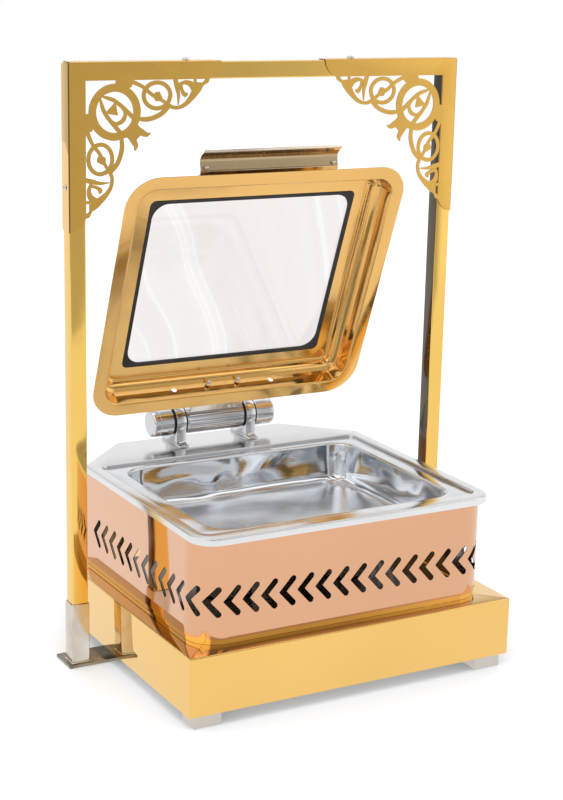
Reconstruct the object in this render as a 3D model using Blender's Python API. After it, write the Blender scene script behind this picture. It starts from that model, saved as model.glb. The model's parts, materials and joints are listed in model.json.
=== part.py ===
"""Buffet chafing dish on a plinth, under an arch stand with filigree corner brackets.

Metres, +Z up.  The origin is on the floor, at the middle of the footprint.  -Y is the
guest's side, where the lid opens.  The lid is modelled closed, in the frame of its hinge
axis, and the empty on that axis turns it to the angle where it stands open.
"""
import math

import bmesh
import bpy
from mathutils import Vector
from mathutils.geometry import delaunay_2d_cdt

GAP = 0.0003                      # clearance between pieces that touch

# plinth, with square front corners and cut rear corners
PLINTH_HALF = 0.275
PLINTH_BOTTOM = 0.021
PLINTH_TOP = 0.111
PLINTH_CUT = 0.105
PLINTH_SHEET = 0.0015
BASE_SHEET = 0.002
FOOT_X = 0.045
FOOT_Y = 0.040
FOOT_ACROSS = 0.2425              # middle of each foot
FOOT_FRONT = -0.249
FOOT_REAR = 0.150

# arch stand of square tube
TUBE = 0.025
TUBE_WALL = 0.0012
ARCH_HALF = 0.330
ARCH_FRONT = 0.0158
ARCH_TOP = 0.912
BAR_HALF = 0.3385
BAR_FRONT = 0.0078
BAR_DEPTH = 0.055
BAR_THICK = 0.005
SOCKET_WALL = 0.0015
SOCKET_TOP = 0.100

# corner brackets: front plate with scrollwork, side flange and top flange
PLATE = 0.0012
PLATE_ARM = 0.243
FLANGE_DEPTH = 0.0265
BOLT_ARM = 0.189
SCREW_DROP = 0.177

# body
BODY_HALF = 0.2475
BODY_RADIUS = 0.047
BODY_SHEET = 0.0012
BODY_REAR = 0.1515                # where the sides end and the cut corners start
RING_TOP = 0.140
SKIRT_BOTTOM = 0.119
SKIRT_TOP = 0.2720
SLOT_PITCH = 0.030
SLOT_MIDDLE = 0.176
SLOT_WIDTH = 0.0095
SLOT_RUN = 0.017
SLOT_RISE = 0.0185
NOTCH_RADIUS = 0.014
OPENING_HALF = 0.125              # burner opening in the rear panel
OPENING_SILL = 0.006
OPENING_HEIGHT = 0.090
OPENING_RADIUS = 0.012
POST_WIDTH = 0.018
POST_SHEET = 0.0015
POST_FRONT = -0.192
POST_REAR = 0.142

# deck
DECK_HALF = 0.2515
DECK_FRONT = -0.257
DECK_REAR = 0.253
DECK_RADIUS = 0.037
DECK_CUT = 0.099
DECK_TOP = 0.275
DECK_RIM = 0.011
DECK_SHEET = 0.0012
LEDGE_TOP = 0.2685
RECESS = (0.2335, -0.2318, 0.1375, 0.014)     # half width, front, rear, corner radius
WELL = (0.2155, -0.2222, 0.1257, 0.044)

# pans
PAN_SHEET = 0.0010
PAN_FLANGE = (0.2310, -0.2293, 0.1350, 0.012)
FOOD_MOUTH = (0.2060, -0.2145, 0.1180, 0.040)
WATER_MOUTH = (0.2125, -0.2195, 0.1230, 0.043)
FOOD_DEPTH = 0.065
WATER_DEPTH = 0.082
PAN_TAPER = 0.007
PAN_FOOT = 0.012                  # radius between wall and floor

# lid, hinged behind the pans
HINGE_Y = 0.2118
HINGE_Z = 0.3135
OPEN_ANGLE = 68.6
LID_HALF = 0.2417
LID_LENGTH = 0.427
LID_RADIUS = 0.052
LID_SETBACK = 0.0526              # hinge axis to the lid's rear edge
LID_DROP = 0.037                  # hinge axis to the flange plane
LID_SHEET = 0.0012
LID_SECTION = (                   # inner face: inward from the edge, and height
    (0.0, 0.0), (0.0200, 0.0), (0.0218, 0.0018), (0.0240, 0.0190), (0.0262, 0.0262),
    (0.0315, 0.0295), (0.0350, 0.0305), (0.0372, 0.0335), (0.0392, 0.0385),
    (0.0425, 0.0410), (0.0622, 0.0410))
WINDOW_RADIUS = 0.010
HOLE_X = 0.089                    # open holes in the lid's rear wall
HOLE_RADIUS = 0.0045
HOLE_HEIGHT = 0.019
NUT_X = 0.027
NUT_SEAT = 0.0262
GLASS = 0.004
GASKET_FOOT = 0.0405              # height of its lower edge
GLASS_RADIUS = 0.026              # corner of the window that shows

# handle on the lid's front wall
GRIP_HALF = 0.119
GRIP_FOOT = 0.004                 # height of the angle's lower edge
GRIP_FACE = 0.016
ANGLE_SHEET = 0.0015
GRIP_SHEET = 0.0013
FLAT_END = 0.020                  # flat band of the grip, then the dished part
DISH_RUN = 0.029
DISH_RISE = 0.007
LIP_END = 0.053

# hinge
BARREL_RADIUS = 0.0235
HUB_RADIUS = 0.0255
SHAFT_RADIUS = 0.010
BRACKET_IN = 0.0560
BRACKET_OUT = 0.0730
BARREL_HALF = 0.0524
CAP_END = 0.1120
WASHER = 0.0030
WASHER_RADIUS = 0.0215
FOOT_REACH = (0.036, 0.034)       # bracket foot, to the front and to the rear of the axis
FOOT_THICK = 0.004
PEDESTAL = (0.0210, 0.0235)       # half depth at the foot and below the hub
LEAF_HALF = 0.048
LEAF_SHEET = 0.0025
LEAF_LOW = 0.008
LEAF_SHELF = 0.0245

# fuel burners
CUP_X = 0.105
CUP_Y = -0.050
CUP_RADIUS = 0.043
CUP_HEIGHT = 0.046
CUP_WALL = 0.0012
PIN_RADIUS = 0.003
PIN_SHOULDER = 0.0055
PIN_SETBACK = 0.010               # pin's axis to the cup's wall
COVER_SHEET = 0.0015
COVER_TAIL = 0.009

MATERIALS = {
    "gold_mirror": ((0.90, 0.64, 0.26), 0.16, 1.0),
    "gold_satin": ((0.78, 0.58, 0.25), 0.30, 1.0),
    "rose_copper": ((0.93, 0.66, 0.50), 0.16, 1.0),
    "polished_steel": ((0.80, 0.80, 0.80), 0.12, 1.0),
    "brushed_steel": ((0.66, 0.64, 0.60), 0.34, 1.0),
    "black_rubber": ((0.03, 0.03, 0.03), 0.60, 0.0),
    "clear_glass": ((0.93, 0.96, 0.95), 0.04, 0.0),
}


# ---------------------------------------------------------------- tools

def clear_scene():
    for obj in list(bpy.data.objects):
        bpy.data.objects.remove(obj, do_unlink=True)


def make_materials():
    made = {}
    for name, (colour, roughness, metallic) in MATERIALS.items():
        material = bpy.data.materials.new(name)
        material.use_nodes = True
        shader = material.node_tree.nodes["Principled BSDF"]
        shader.inputs["Base Color"].default_value = (*colour, 1.0)
        shader.inputs["Roughness"].default_value = roughness
        shader.inputs["Metallic"].default_value = metallic
        made[name] = material
    glass = made["clear_glass"].node_tree.nodes["Principled BSDF"]
    glass.inputs["Transmission Weight"].default_value = 1.0
    return made


def add_empty(name, place, angle=0.0):
    empty = bpy.data.objects.new(name, None)
    empty.location = place
    empty.rotation_euler = (math.radians(angle), 0.0, 0.0)
    bpy.context.scene.collection.objects.link(empty)
    return empty


def add_object(name, bm, material, parent=None, place=(0.0, 0.0, 0.0)):
    bmesh.ops.recalc_face_normals(bm, faces=bm.faces)
    mesh = bpy.data.meshes.new(name)
    bm.to_mesh(mesh)
    bm.free()
    mesh.shade_smooth()
    mesh.set_sharp_from_angle(angle=math.radians(35))
    mesh.materials.append(material)
    obj = bpy.data.objects.new(name, mesh)
    obj.location = place
    obj.parent = parent
    bpy.context.scene.collection.objects.link(obj)
    return obj


def box(low, high):
    bm = bmesh.new()
    bmesh.ops.create_cube(bm, size=1.0)
    for vert in bm.verts:
        for axis in range(3):
            vert.co[axis] = low[axis] if vert.co[axis] < 0 else high[axis]
    return bm


def loft(rings, closed=False):
    """Skin a run of rings with equal point counts; an open run gets a cap at each end."""
    bm = bmesh.new()
    rows = [[bm.verts.new(point) for point in ring] for ring in rings]
    pairs = list(zip(rows, rows[1:]))
    if closed:
        pairs.append((rows[-1], rows[0]))
    for low, high in pairs:
        for i in range(len(low)):
            j = (i + 1) % len(low)
            bm.faces.new((low[i], low[j], high[j], high[i]))
    if not closed:
        bm.faces.new(rows[0])
        bm.faces.new(rows[-1])
    return bm


def turned(profile, place, axis="Z", steps=20, closed=False):
    """Turn (radius, height) points about an axis through place."""
    rings = []
    for radius, height in profile:
        ring = []
        for i in range(steps):
            angle = 2 * math.pi * i / steps
            across = (radius * math.cos(angle), radius * math.sin(angle))
            if axis == "Z":
                point = (place[0] + across[0], place[1] + across[1], place[2] + height)
            elif axis == "Y":
                point = (place[0] + across[0], place[1] + height, place[2] + across[1])
            else:
                point = (place[0] + height, place[1] + across[0], place[2] + across[1])
            ring.append(point)
        rings.append(ring)
    return loft(rings, closed)


def arc(centre, radius, start, end, steps):
    points = []
    for i in range(steps + 1):
        angle = math.radians(start + (end - start) * i / steps)
        points.append((centre[0] + radius * math.cos(angle), centre[1] + radius * math.sin(angle)))
    return points


def rounded(half, front, rear, radius, steps=5):
    """Rectangle with four round corners, anticlockwise from the left front corner."""
    left, right = -half + radius, half - radius
    low, high = front + radius, rear - radius
    return (arc((left, low), radius, 180, 270, steps) + arc((right, low), radius, 270, 360, steps)
            + arc((right, high), radius, 0, 90, steps) + arc((left, high), radius, 90, 180, steps))


def inset(shape, amount):
    half, front, rear, radius = shape
    return (half - amount, front + amount, rear - amount, max(radius - amount, 0.002))


def deck_outline(amount=0.0, steps=5):
    """Round front corners and cut rear corners, moved inward by an amount."""
    half, front, rear = DECK_HALF - amount, DECK_FRONT + amount, DECK_REAR - amount
    radius = DECK_RADIUS - amount
    cut = DECK_CUT - amount * (2 - math.sqrt(2))
    return (arc((-half + radius, front + radius), radius, 180, 270, steps)
            + arc((half - radius, front + radius), radius, 270, 360, steps)
            + [(half, rear - cut), (half - cut, rear), (-half + cut, rear), (-half, rear - cut)])


def plinth_outline(amount=0.0):
    half = PLINTH_HALF - amount
    cut = PLINTH_CUT - amount * (2 - math.sqrt(2))
    return [(-half, -half), (half, -half), (half, half - cut), (half - cut, half),
            (-half + cut, half), (-half, half - cut)]


def at_height(outline, z):
    return [(x, y, z) for x, y in outline]


def inside(point, polygon):
    hit = False
    x, y = point
    for (x0, y0), (x1, y1) in zip(polygon, polygon[1:] + polygon[:1]):
        if (y0 > y) != (y1 > y) and x < (x1 - x0) * (y - y0) / (y1 - y0) + x0:
            hit = not hit
    return hit


def triangulate(points, edges, faces):
    """Constrained triangles: points, triangles and the areas that own each triangle."""
    result = delaunay_2d_cdt([Vector(p) for p in points], edges, faces, 0, 1e-6)
    return result[0], result[2], result[5]


def covered(point, polygons):
    """Whether a point lies in one of some (low corner, high corner, polygon) areas."""
    x, y = point
    return any(low[0] <= x <= high[0] and low[1] <= y <= high[1] and inside(point, polygon)
               for low, high, polygon in polygons)


def with_bounds(polygons):
    bounded = []
    for polygon in polygons:
        across, along = zip(*polygon)
        bounded.append(((min(across), min(along)), (max(across), max(along)), polygon))
    return bounded


def edge_count(triangles):
    count = {}
    for a, b, c in triangles:
        for edge in ((a, b), (b, c), (c, a)):
            key = tuple(sorted(edge))
            count[key] = count.get(key, 0) + 1
    return count


def anticlockwise(polygon):
    area = sum(x0 * y1 - x1 * y0 for (x0, y0), (x1, y1) in zip(polygon, polygon[1:] + polygon[:1]))
    return polygon if area > 0 else polygon[::-1]


def merged_outline(areas):
    """Points and edges round the union of some areas that overlap."""
    points, faces = [], []
    for polygon in map(anticlockwise, areas):
        faces.append(list(range(len(points), len(points) + len(polygon))))
        points += polygon
    points, triangles, owners = triangulate(points, [], faces)
    count = edge_count(t for t, owner in zip(triangles, owners) if owner)
    rim = [edge for edge, uses in count.items() if uses == 1]
    used = sorted({i for edge in rim for i in edge})
    number = {old: new for new, old in enumerate(used)}
    return [tuple(points[i]) for i in used], [(number[a], number[b]) for a, b in rim]


def flat_triangles(areas, holes=(), folds=()):
    """Triangles of the union of areas, less the holes, with an edge along every fold."""
    points, edges = merged_outline(areas)
    for polygon in holes:
        start = len(points)
        points += polygon
        edges += [(start + i, start + (i + 1) % len(polygon)) for i in range(len(polygon))]
    for fold in folds:
        edges.append((len(points), len(points) + 1))
        points += fold
    points, triangles, _ = triangulate(points, edges, [])
    solid, empty = with_bounds(areas), with_bounds(holes)
    kept = []
    for triangle in triangles:
        middle = sum((points[i] for i in triangle), Vector((0.0, 0.0))) / 3
        if covered(middle, solid) and not covered(middle, empty):
            kept.append(triangle)
    return points, kept


def sheet(areas, place, holes=(), folds=()):
    """A closed sheet whose two faces are place(u, v, 0) and place(u, v, 1)."""
    points, triangles = flat_triangles(areas, holes, folds)
    used = sorted({i for triangle in triangles for i in triangle})
    bm = bmesh.new()
    sides = [{i: bm.verts.new(place(points[i].x, points[i].y, side)) for i in used} for side in (0, 1)]
    for a, b, c in triangles:
        bm.faces.new((sides[0][a], sides[0][b], sides[0][c]))
        bm.faces.new((sides[1][c], sides[1][b], sides[1][a]))
    count = edge_count(triangles)
    for a, b in (edge for edge, uses in count.items() if uses == 1):
        bm.faces.new((sides[0][a], sides[0][b], sides[1][b], sides[1][a]))
    return bm


def extruded(areas, axis, low, high, holes=()):
    """A flat shape pushed along X or Y; its plane is (Y, Z) or (X, Z)."""
    ends = (low, high)
    if axis == "X":
        return sheet(areas, lambda u, v, side: (ends[side], u, v), holes)
    return sheet(areas, lambda u, v, side: (u, ends[side], v), holes)


def round_head(radius, height, steps=12):
    """Profile of a low domed screw head, from its seat up."""
    return [(radius, 0.0), (radius, height * 0.35), (radius * 0.8, height * 0.8), (radius * 0.35, height)]


# ---------------------------------------------------------------- plinth and feet

def build_plinth(mats):
    low, high, wall = PLINTH_BOTTOM, PLINTH_TOP, PLINTH_SHEET
    rings = [at_height(plinth_outline(wall), high - wall), at_height(plinth_outline(wall), low),
             at_height(plinth_outline(), low), at_height(plinth_outline(), high)]
    add_object("plinth_shell", loft(rings), mats["gold_mirror"])
    plate = plinth_outline(wall + GAP)
    add_object("plinth_base_plate", loft([at_height(plate, low), at_height(plate, low + BASE_SHEET)]),
               mats["brushed_steel"])
    for depth, y in (("front", FOOT_FRONT), ("rear", FOOT_REAR)):
        for side, x in (("left", -FOOT_ACROSS), ("right", FOOT_ACROSS)):
            foot = box((x - FOOT_X / 2, y - FOOT_Y / 2, 0.0), (x + FOOT_X / 2, y + FOOT_Y / 2, low - GAP))
            add_object(f"foot_{depth}_{side}", foot, mats["brushed_steel"])


# ---------------------------------------------------------------- arch stand

def square(x, y, half):
    return [(x - half, y - half), (x + half, y - half), (x + half, y + half), (x - half, y + half)]


def build_stand(mats):
    bar = box((-BAR_HALF, BAR_FRONT, 0.0), (BAR_HALF, BAR_FRONT + BAR_DEPTH, BAR_THICK))
    add_object("stand_crossbar", bar, mats["brushed_steel"])
    middle_y = ARCH_FRONT + TUBE / 2
    half = TUBE / 2
    bore = half - TUBE_WALL
    corner = ARCH_TOP - ARCH_HALF                   # the mitre runs along z = |x| + corner
    for side, sign in (("left", -1), ("right", 1)):
        x = sign * (ARCH_HALF - half)
        sleeve = square(x, middle_y, half + GAP)
        skin = square(x, middle_y, half + GAP + SOCKET_WALL)
        low, high = BAR_THICK + GAP, SOCKET_TOP
        rings = [at_height(sleeve, low), at_height(skin, low), at_height(skin, high),
                 at_height(sleeve, high)]
        add_object(f"stand_socket_{side}", loft(rings, closed=True), mats["brushed_steel"])

        def mitred(outline):
            return [(px, py, abs(px) + corner - GAP) for px, py in outline]

        outer, inner = square(x, middle_y, half), square(x, middle_y, bore)
        rings = [at_height(inner, low), at_height(outer, low), mitred(outer), mitred(inner)]
        add_object(f"arch_upright_{side}", loft(rings, closed=True), mats["gold_satin"])
    rings = []
    for sign in (-1, 1):
        for reach in ((bore, half) if sign < 0 else (half, bore)):
            section = square(middle_y, ARCH_TOP - half, reach)
            rings.append([(sign * (z - corner), y, z) for y, z in section])
    add_object("arch_top_bar", loft(rings, closed=True), mats["gold_satin"])


# ---------------------------------------------------------------- scrollwork brackets

def smooth_path(points, spacing):
    """Catmull-Rom curve through (a, b, width) points, resampled at about a spacing."""
    ends = [2 * points[0] - points[1]] + list(points) + [2 * points[-1] - points[-2]]
    path = []
    for p0, p1, p2, p3 in zip(ends, ends[1:], ends[2:], ends[3:]):
        steps = max(1, round((p2.xy - p1.xy).length / spacing))
        for i in range(steps):
            t = i / steps
            path.append(0.5 * ((2 * p1) + (p2 - p0) * t + (2 * p0 - 5 * p1 + 4 * p2 - p3) * t ** 2
                               + (3 * p1 - p0 - 3 * p2 + p3) * t ** 3))
    path.append(points[-1])
    return path


def ribbon(stroke, spacing):
    """Quads of a band that follows a stroke of (a, b, width) points, in millimetres."""
    path = smooth_path([Vector(p) for p in stroke], spacing)
    left, right = [], []
    for i, point in enumerate(path):
        along = (path[min(i + 1, len(path) - 1)].xy - path[max(i - 1, 0)].xy).normalized()
        across = Vector((-along.y, along.x)) * point.z / 2
        left.append(tuple(point.xy + across))
        right.append(tuple(point.xy - across))
    return [[left[i], left[i + 1], right[i + 1], right[i]] for i in range(len(path) - 1)]


def ring_stroke(centre, along, across, width, count=8):
    """A closed oval stroke, which runs on past its first point to hide the join."""
    stroke = []
    for i in range(count + 2):
        angle = 2 * math.pi * i / count
        stroke.append((centre[0] + along * math.cos(angle), centre[1] + across * math.sin(angle), width))
    return stroke


# One arm's scrollwork, in millimetres along the arm and away from it.  The other arm is
# its mirror image in the corner's diagonal.
CORNER_RING = ring_stroke((45.5, 45.0), 35.0, 35.0, 11.0)
ARM_STROKES = [
    ring_stroke((112.0, 22.5), 21.3, 18.6, 6.2),
    [(66, 1, 7), (78, 4.5, 6), (91, 11, 5.5), (102, 20, 5.5), (111, 25, 6), (122, 31, 5), (132, 38, 5.5)],
    [(107.5, 26.5, 8), (112, 24.5, 14), (118, 21.5, 10)],
    [(83, 55.5, 6), (95, 56.5, 7), (106, 54.5, 7), (118, 49.5, 7), (127, 42, 7), (132, 36, 6)],
    [(130, 37, 6), (139, 40.5, 5.5), (149, 40, 5.5), (159, 35, 6.5), (168, 26, 9),
     (175, 16, 13), (179, 9, 15)],
    [(141, -1, 7), (143.5, 9, 7.5), (146.3, 22, 5), (146, 37, 1.5)],
    [(146, 8, 4), (156, 4.5, 6), (166, 7, 9), (172, 14, 10)],
    [(149.5, 5, 5), (152, 16, 5), (157, 22.5, 7), (161, 20, 2.5)],
    [(23, 22, 1.5), (33, 24.5, 5), (44, 28.5, 6), (56, 37, 6), (66, 46, 6.5), (75, 54, 6.5), (83, 59, 6)],
    [(57, 38, 5), (61.8, 46, 5.5), (60, 54, 6), (55, 60, 6)],
    [(82, 71, 9), (89.5, 76, 9), (95, 78.5, 7), (101.5, 76.5, 1.5)],
]
ARM_AREAS = [
    [(47, -1), (73, -1), (72, 9), (62, 15), (45, 12)],
    [(171, -1), (175.5, -1), (175.5, 8), (171, 8)],
    [(176, 4.5), (186, 5), (191, -1), (197, -1), (195, 5), (187.5, 9), (183, 14), (176, 12)],
]
SHARED_AREAS = [
    [(68, 70), (80, 62), (87, 70), (86, 79), (79, 86), (70, 87), (62, 80)],
    [(46.5, 30), (30, 46.5), (50, 50)],
]


def scrollwork(spacing=8.0):
    """All the areas of the corner's scrollwork, in metres from the arms' inner corner."""
    areas = []
    for stroke in [CORNER_RING] + ARM_STROKES:
        areas += ribbon(stroke, spacing)
    areas += ARM_AREAS
    mirrored = [[(b, a) for a, b in area] for area in areas]
    return [[(a / 1000, b / 1000) for a, b in area] for area in areas + mirrored + SHARED_AREAS]


def bracket_areas():
    """The unrolled bracket: u and v run from its outer corner along the two arms."""
    width = TUBE + GAP + PLATE
    start = 2.5 * PLATE                             # relief at the corner of the two flanges
    arm = ([(0.0, 0.0), (width, 0.0)]
           + [(width * math.cos(angle), PLATE_ARM - width + width * math.sin(angle))
              for angle in (math.pi / 2 * i / 5 for i in range(6))])
    flange = [(-FLANGE_DEPTH, start), (0.0, start), (0.0, PLATE_ARM), (-FLANGE_DEPTH + 0.008, PLATE_ARM),
              (-FLANGE_DEPTH, PLATE_ARM - 0.008)]
    areas = [arm, flange]
    areas += [[(v, u) for u, v in area] for area in areas]
    return areas + [[(u + width, v + width) for u, v in area] for area in scrollwork()]


def build_brackets(mats):
    reach = ARCH_HALF + GAP + PLATE
    top = ARCH_TOP + GAP + PLATE
    front = ARCH_FRONT - GAP - PLATE
    centre_y = ARCH_FRONT + TUBE / 2
    for side, sign in (("left", -1), ("right", 1)):

        def place(u, v, face):
            lift = PLATE * face
            x = reach - max(u, 0.0)
            z = top - max(v, 0.0)
            y = front + lift + max(-u, -v, 0.0)
            if u < 1e-7:
                x = reach - lift
            if v < 1e-7:
                z = top - lift
            return (sign * x, y, z)

        folds = [((0.0, 0.0), (0.0, PLATE_ARM)), ((0.0, 0.0), (PLATE_ARM, 0.0))]
        bracket = sheet(bracket_areas(), place, folds=folds)
        add_object(f"corner_bracket_{side}", bracket, mats["gold_satin"])
        bolt_place = (sign * (ARCH_HALF - BOLT_ARM), centre_y, top + GAP)
        bolt = turned(round_head(0.006, 0.0035), bolt_place, steps=12)
        add_object(f"bracket_bolt_{side}", bolt, mats["brushed_steel"])
        head = [(radius, sign * height) for radius, height in round_head(0.0045, 0.0022)]
        screw = turned(head, (sign * (reach + GAP), centre_y, ARCH_TOP - SCREW_DROP), "X", 12)
        add_object(f"bracket_screw_{side}", screw, mats["brushed_steel"])


# ---------------------------------------------------------------- body

class SidePath:
    """Runs from the left rear, round the front, to the right rear, at a distance outward."""

    def __init__(self):
        self.side = BODY_REAR + BODY_HALF - BODY_RADIUS
        self.bend = math.pi / 2 * BODY_RADIUS
        self.front = 2 * (BODY_HALF - BODY_RADIUS)
        self.length = 2 * (self.side + self.bend) + self.front

    def point(self, run, out):
        mirror = 1
        if run > self.length / 2:
            run = self.length - run
            mirror = -1
        centre = BODY_HALF - BODY_RADIUS
        if run <= self.side:
            x, y = -BODY_HALF - out, BODY_REAR - run
        elif run <= self.side + self.bend:
            angle = (run - self.side) / BODY_RADIUS
            radius = BODY_RADIUS + out
            x, y = -centre - radius * math.cos(angle), -centre - radius * math.sin(angle)
        else:
            x, y = -centre + run - self.side - self.bend, -BODY_HALF - out
        return (mirror * x, y)

    def bend_runs(self, steps=6):
        """Places of the fold lines across both corners."""
        runs = [self.side + self.bend * i / steps for i in range(steps + 1)]
        return runs + [self.length - run for run in reversed(runs)]


def chevron(run):
    """One arrow-shaped slot with round ends, pointing to lower run values."""
    half = SLOT_WIDTH / 2
    slope = math.atan2(SLOT_RISE, SLOT_RUN)
    upper = Vector((SLOT_RUN, SLOT_RISE))
    normal = Vector((-math.sin(slope), math.cos(slope))) * half
    tip = half / math.sin(slope)
    start = math.degrees(slope) + 90
    points = [(-tip, 0.0)] + arc(upper, half, start, start - 180, 3)
    points.append((tip, 0.0))
    points += [(u, -v) for u, v in reversed(points[1:-1])]
    return [(run + u, SLOT_MIDDLE + v) for u, v in points]


def lower_edge(path):
    """Bottom edge of the skirt, with a cusped notch at the middle of each front bend."""
    edge = [(0.0, SKIRT_BOTTOM)]
    for middle in (path.side + path.bend / 2, path.length - path.side - path.bend / 2):
        for sign in (-1, 1):
            centre = (middle + sign * NOTCH_RADIUS, SKIRT_BOTTOM + NOTCH_RADIUS)
            turn = (270, 360) if sign < 0 else (180, 270)
            edge += [(u, v) for u, v in arc(centre, NOTCH_RADIUS, *turn, 4)]
    edge.append((path.length, SKIRT_BOTTOM))
    return edge


def build_body(mats):
    path = SidePath()
    folds = path.bend_runs()

    def wall(inner, thickness):
        def place(run, z, face):
            return (*path.point(run, inner + thickness * (1 - face)), z)
        return place

    ring_low = PLINTH_TOP + GAP
    ring_area = [(0.0, ring_low), (path.length, ring_low), (path.length, RING_TOP), (0.0, RING_TOP)]
    lines = [((run, ring_low), (run, RING_TOP)) for run in folds]
    ring = sheet([ring_area], wall(-BODY_SHEET, BODY_SHEET), folds=lines)
    add_object("body_ring", ring, mats["gold_mirror"])

    outline = lower_edge(path) + [(path.length, SKIRT_TOP), (0.0, SKIRT_TOP)]
    middle = path.length / 2
    count = int((middle - 0.020) / SLOT_PITCH)
    slots = [chevron(middle + SLOT_PITCH * (i + 0.5) - SLOT_RUN / 2) for i in range(-count, count)]
    lines = [((run, SKIRT_BOTTOM - 0.001), (run, SKIRT_TOP + 0.001)) for run in folds]
    skirt = sheet([outline], wall(GAP, BODY_SHEET), holes=slots, folds=lines)
    add_object("copper_skirt", skirt, mats["rose_copper"])
    build_rear_panel(mats)
    build_posts(mats)


def build_rear_panel(mats):
    """Bent panel that closes the back, with a wide opening for the burners."""
    start = BODY_REAR + 0.0013
    rear = DECK_REAR - 0.0045
    across = BODY_HALF + start - rear
    corners = [(-BODY_HALF, start), (-across, rear), (across, rear), (BODY_HALF, start)]
    runs = [0.0]
    for start, end in zip(corners, corners[1:]):
        runs.append(runs[-1] + math.dist(start, end))
    bend = math.radians(22.5)

    def place(run, z, face):
        for i in range(3):
            if run <= runs[i + 1] + 1e-7 or i == 2:
                break
        t = (run - runs[i]) / (runs[i + 1] - runs[i])
        x = corners[i][0] + (corners[i + 1][0] - corners[i][0]) * t
        y = corners[i][1] + (corners[i + 1][1] - corners[i][1]) * t
        if face:
            at_bend = min(abs(run - runs[1]), abs(run - runs[2])) < 1e-6
            if at_bend:
                side = math.copysign(1, x)
                x -= side * BODY_SHEET * math.tan(bend)
                y -= BODY_SHEET
            elif i == 1:
                y -= BODY_SHEET
            else:
                x -= math.copysign(BODY_SHEET * math.sqrt(0.5), x)
                y -= BODY_SHEET * math.sqrt(0.5)
        return (x, y, z)

    low, high = PLINTH_TOP + GAP, DECK_TOP - DECK_SHEET - GAP
    area = [(0.0, low), (runs[-1], low), (runs[-1], high), (0.0, high)]
    middle = runs[-1] / 2
    sill = low + OPENING_SILL
    rim = rounded(OPENING_HALF, sill, sill + OPENING_HEIGHT, OPENING_RADIUS, 3)
    opening = [(u + middle, v) for u, v in rim]
    lines = [((run, low), (run, high)) for run in runs[1:3]]
    add_object("rear_panel", sheet([area], place, holes=[opening], folds=lines), mats["brushed_steel"])


def build_posts(mats):
    """Folded steel posts between the plinth and the deck."""
    low, high = PLINTH_TOP + GAP, LEDGE_TOP - DECK_SHEET - GAP
    reach = BODY_HALF - BODY_SHEET - 0.0025
    wide, thick = POST_WIDTH, POST_SHEET
    high_rear = DECK_TOP - DECK_SHEET - GAP
    angle = [(0.0, 0.0), (wide, 0.0), (wide, thick), (thick, thick), (thick, wide), (0.0, wide)]
    for depth, y, top in (("front", POST_FRONT, high), ("rear", POST_REAR, high_rear)):
        for side, sign in (("left", -1), ("right", 1)):
            outline = [(sign * (reach - u), y + (v if depth == "front" else -v)) for u, v in angle]
            post = loft([at_height(outline, low), at_height(outline, top)])
            add_object(f"deck_post_{depth}_{side}", post, mats["brushed_steel"])


# ---------------------------------------------------------------- deck and pans

def build_deck(mats):
    """One pressed sheet: rim, flat top, recess for the pan flanges and the well."""
    low = DECK_TOP - DECK_RIM
    under = DECK_TOP - DECK_SHEET
    ledge_under = LEDGE_TOP - DECK_SHEET
    step = rounded(*inset(RECESS, -DECK_SHEET))
    loops = [(deck_outline(), low), (deck_outline(), DECK_TOP), (rounded(*RECESS), DECK_TOP),
             (rounded(*RECESS), LEDGE_TOP), (rounded(*WELL), LEDGE_TOP), (rounded(*WELL), ledge_under),
             (step, ledge_under), (step, under), (deck_outline(DECK_SHEET), under),
             (deck_outline(DECK_SHEET), low)]
    bm = bmesh.new()
    rows = [[bm.verts.new((x, y, z)) for x, y in outline] for outline, z in loops]
    for (low_row, low_loop), (high_row, high_loop) in zip(
            zip(rows, loops), zip(rows[1:] + rows[:1], loops[1:] + loops[:1])):
        if low_loop[1] == high_loop[1] and len(low_row) != len(high_row):
            fill_between(bm, low_row, high_row)
            continue
        for i in range(len(low_row)):
            j = (i + 1) % len(low_row)
            bm.faces.new((low_row[i], low_row[j], high_row[j], high_row[i]))
    add_object("deck_plate", bm, mats["polished_steel"])


def fill_between(bm, first, second):
    """Fill the flat space between two loops that lie at one height."""
    outer, inner = sorted((first, second), key=lambda row: -max(abs(v.co.x) for v in row))
    areas = [[tuple(v.co.xy) for v in outer]]
    hole = [tuple(v.co.xy) for v in inner]
    points, triangles = flat_triangles(areas, [hole])
    lookup = outer + inner
    nearest = [min(lookup, key=lambda v: (v.co.xy - point).length) for point in points]
    for triangle in triangles:
        bm.faces.new([nearest[i] for i in triangle])


def pan(mouth, depth, flange_low):
    """A pressed pan: flange, tapered walls with a round foot, and a flat floor."""
    flange_top = flange_low + PAN_SHEET
    floor = flange_top - depth

    def ring(shape, z):
        return at_height(rounded(*shape), z)

    def wall(drop, extra):
        return inset(mouth, drop + extra)

    rings = []
    for skin, top in ((-PAN_SHEET, flange_low), (0.0, flange_top)):
        base = floor - PAN_SHEET if skin else floor
        run = [ring(wall(PAN_TAPER + PAN_FOOT, skin), base),
               ring(wall(PAN_TAPER + PAN_FOOT * 0.3, skin), base + PAN_FOOT * 0.3),
               ring(wall(PAN_TAPER, skin), base + PAN_FOOT), ring(wall(0.001, skin), top - 0.003),
               ring(wall(-0.002, skin), top), ring(PAN_FLANGE, top)]
        rings += run if skin else run[::-1]
    return loft(rings)


def build_pans(mats):
    water_flange = LEDGE_TOP + GAP
    food_flange = water_flange + PAN_SHEET + GAP
    add_object("water_pan", pan(WATER_MOUTH, WATER_DEPTH, water_flange), mats["polished_steel"])
    add_object("food_pan", pan(FOOD_MOUTH, FOOD_DEPTH, food_flange), mats["polished_steel"])


# ---------------------------------------------------------------- fuel burners

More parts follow.
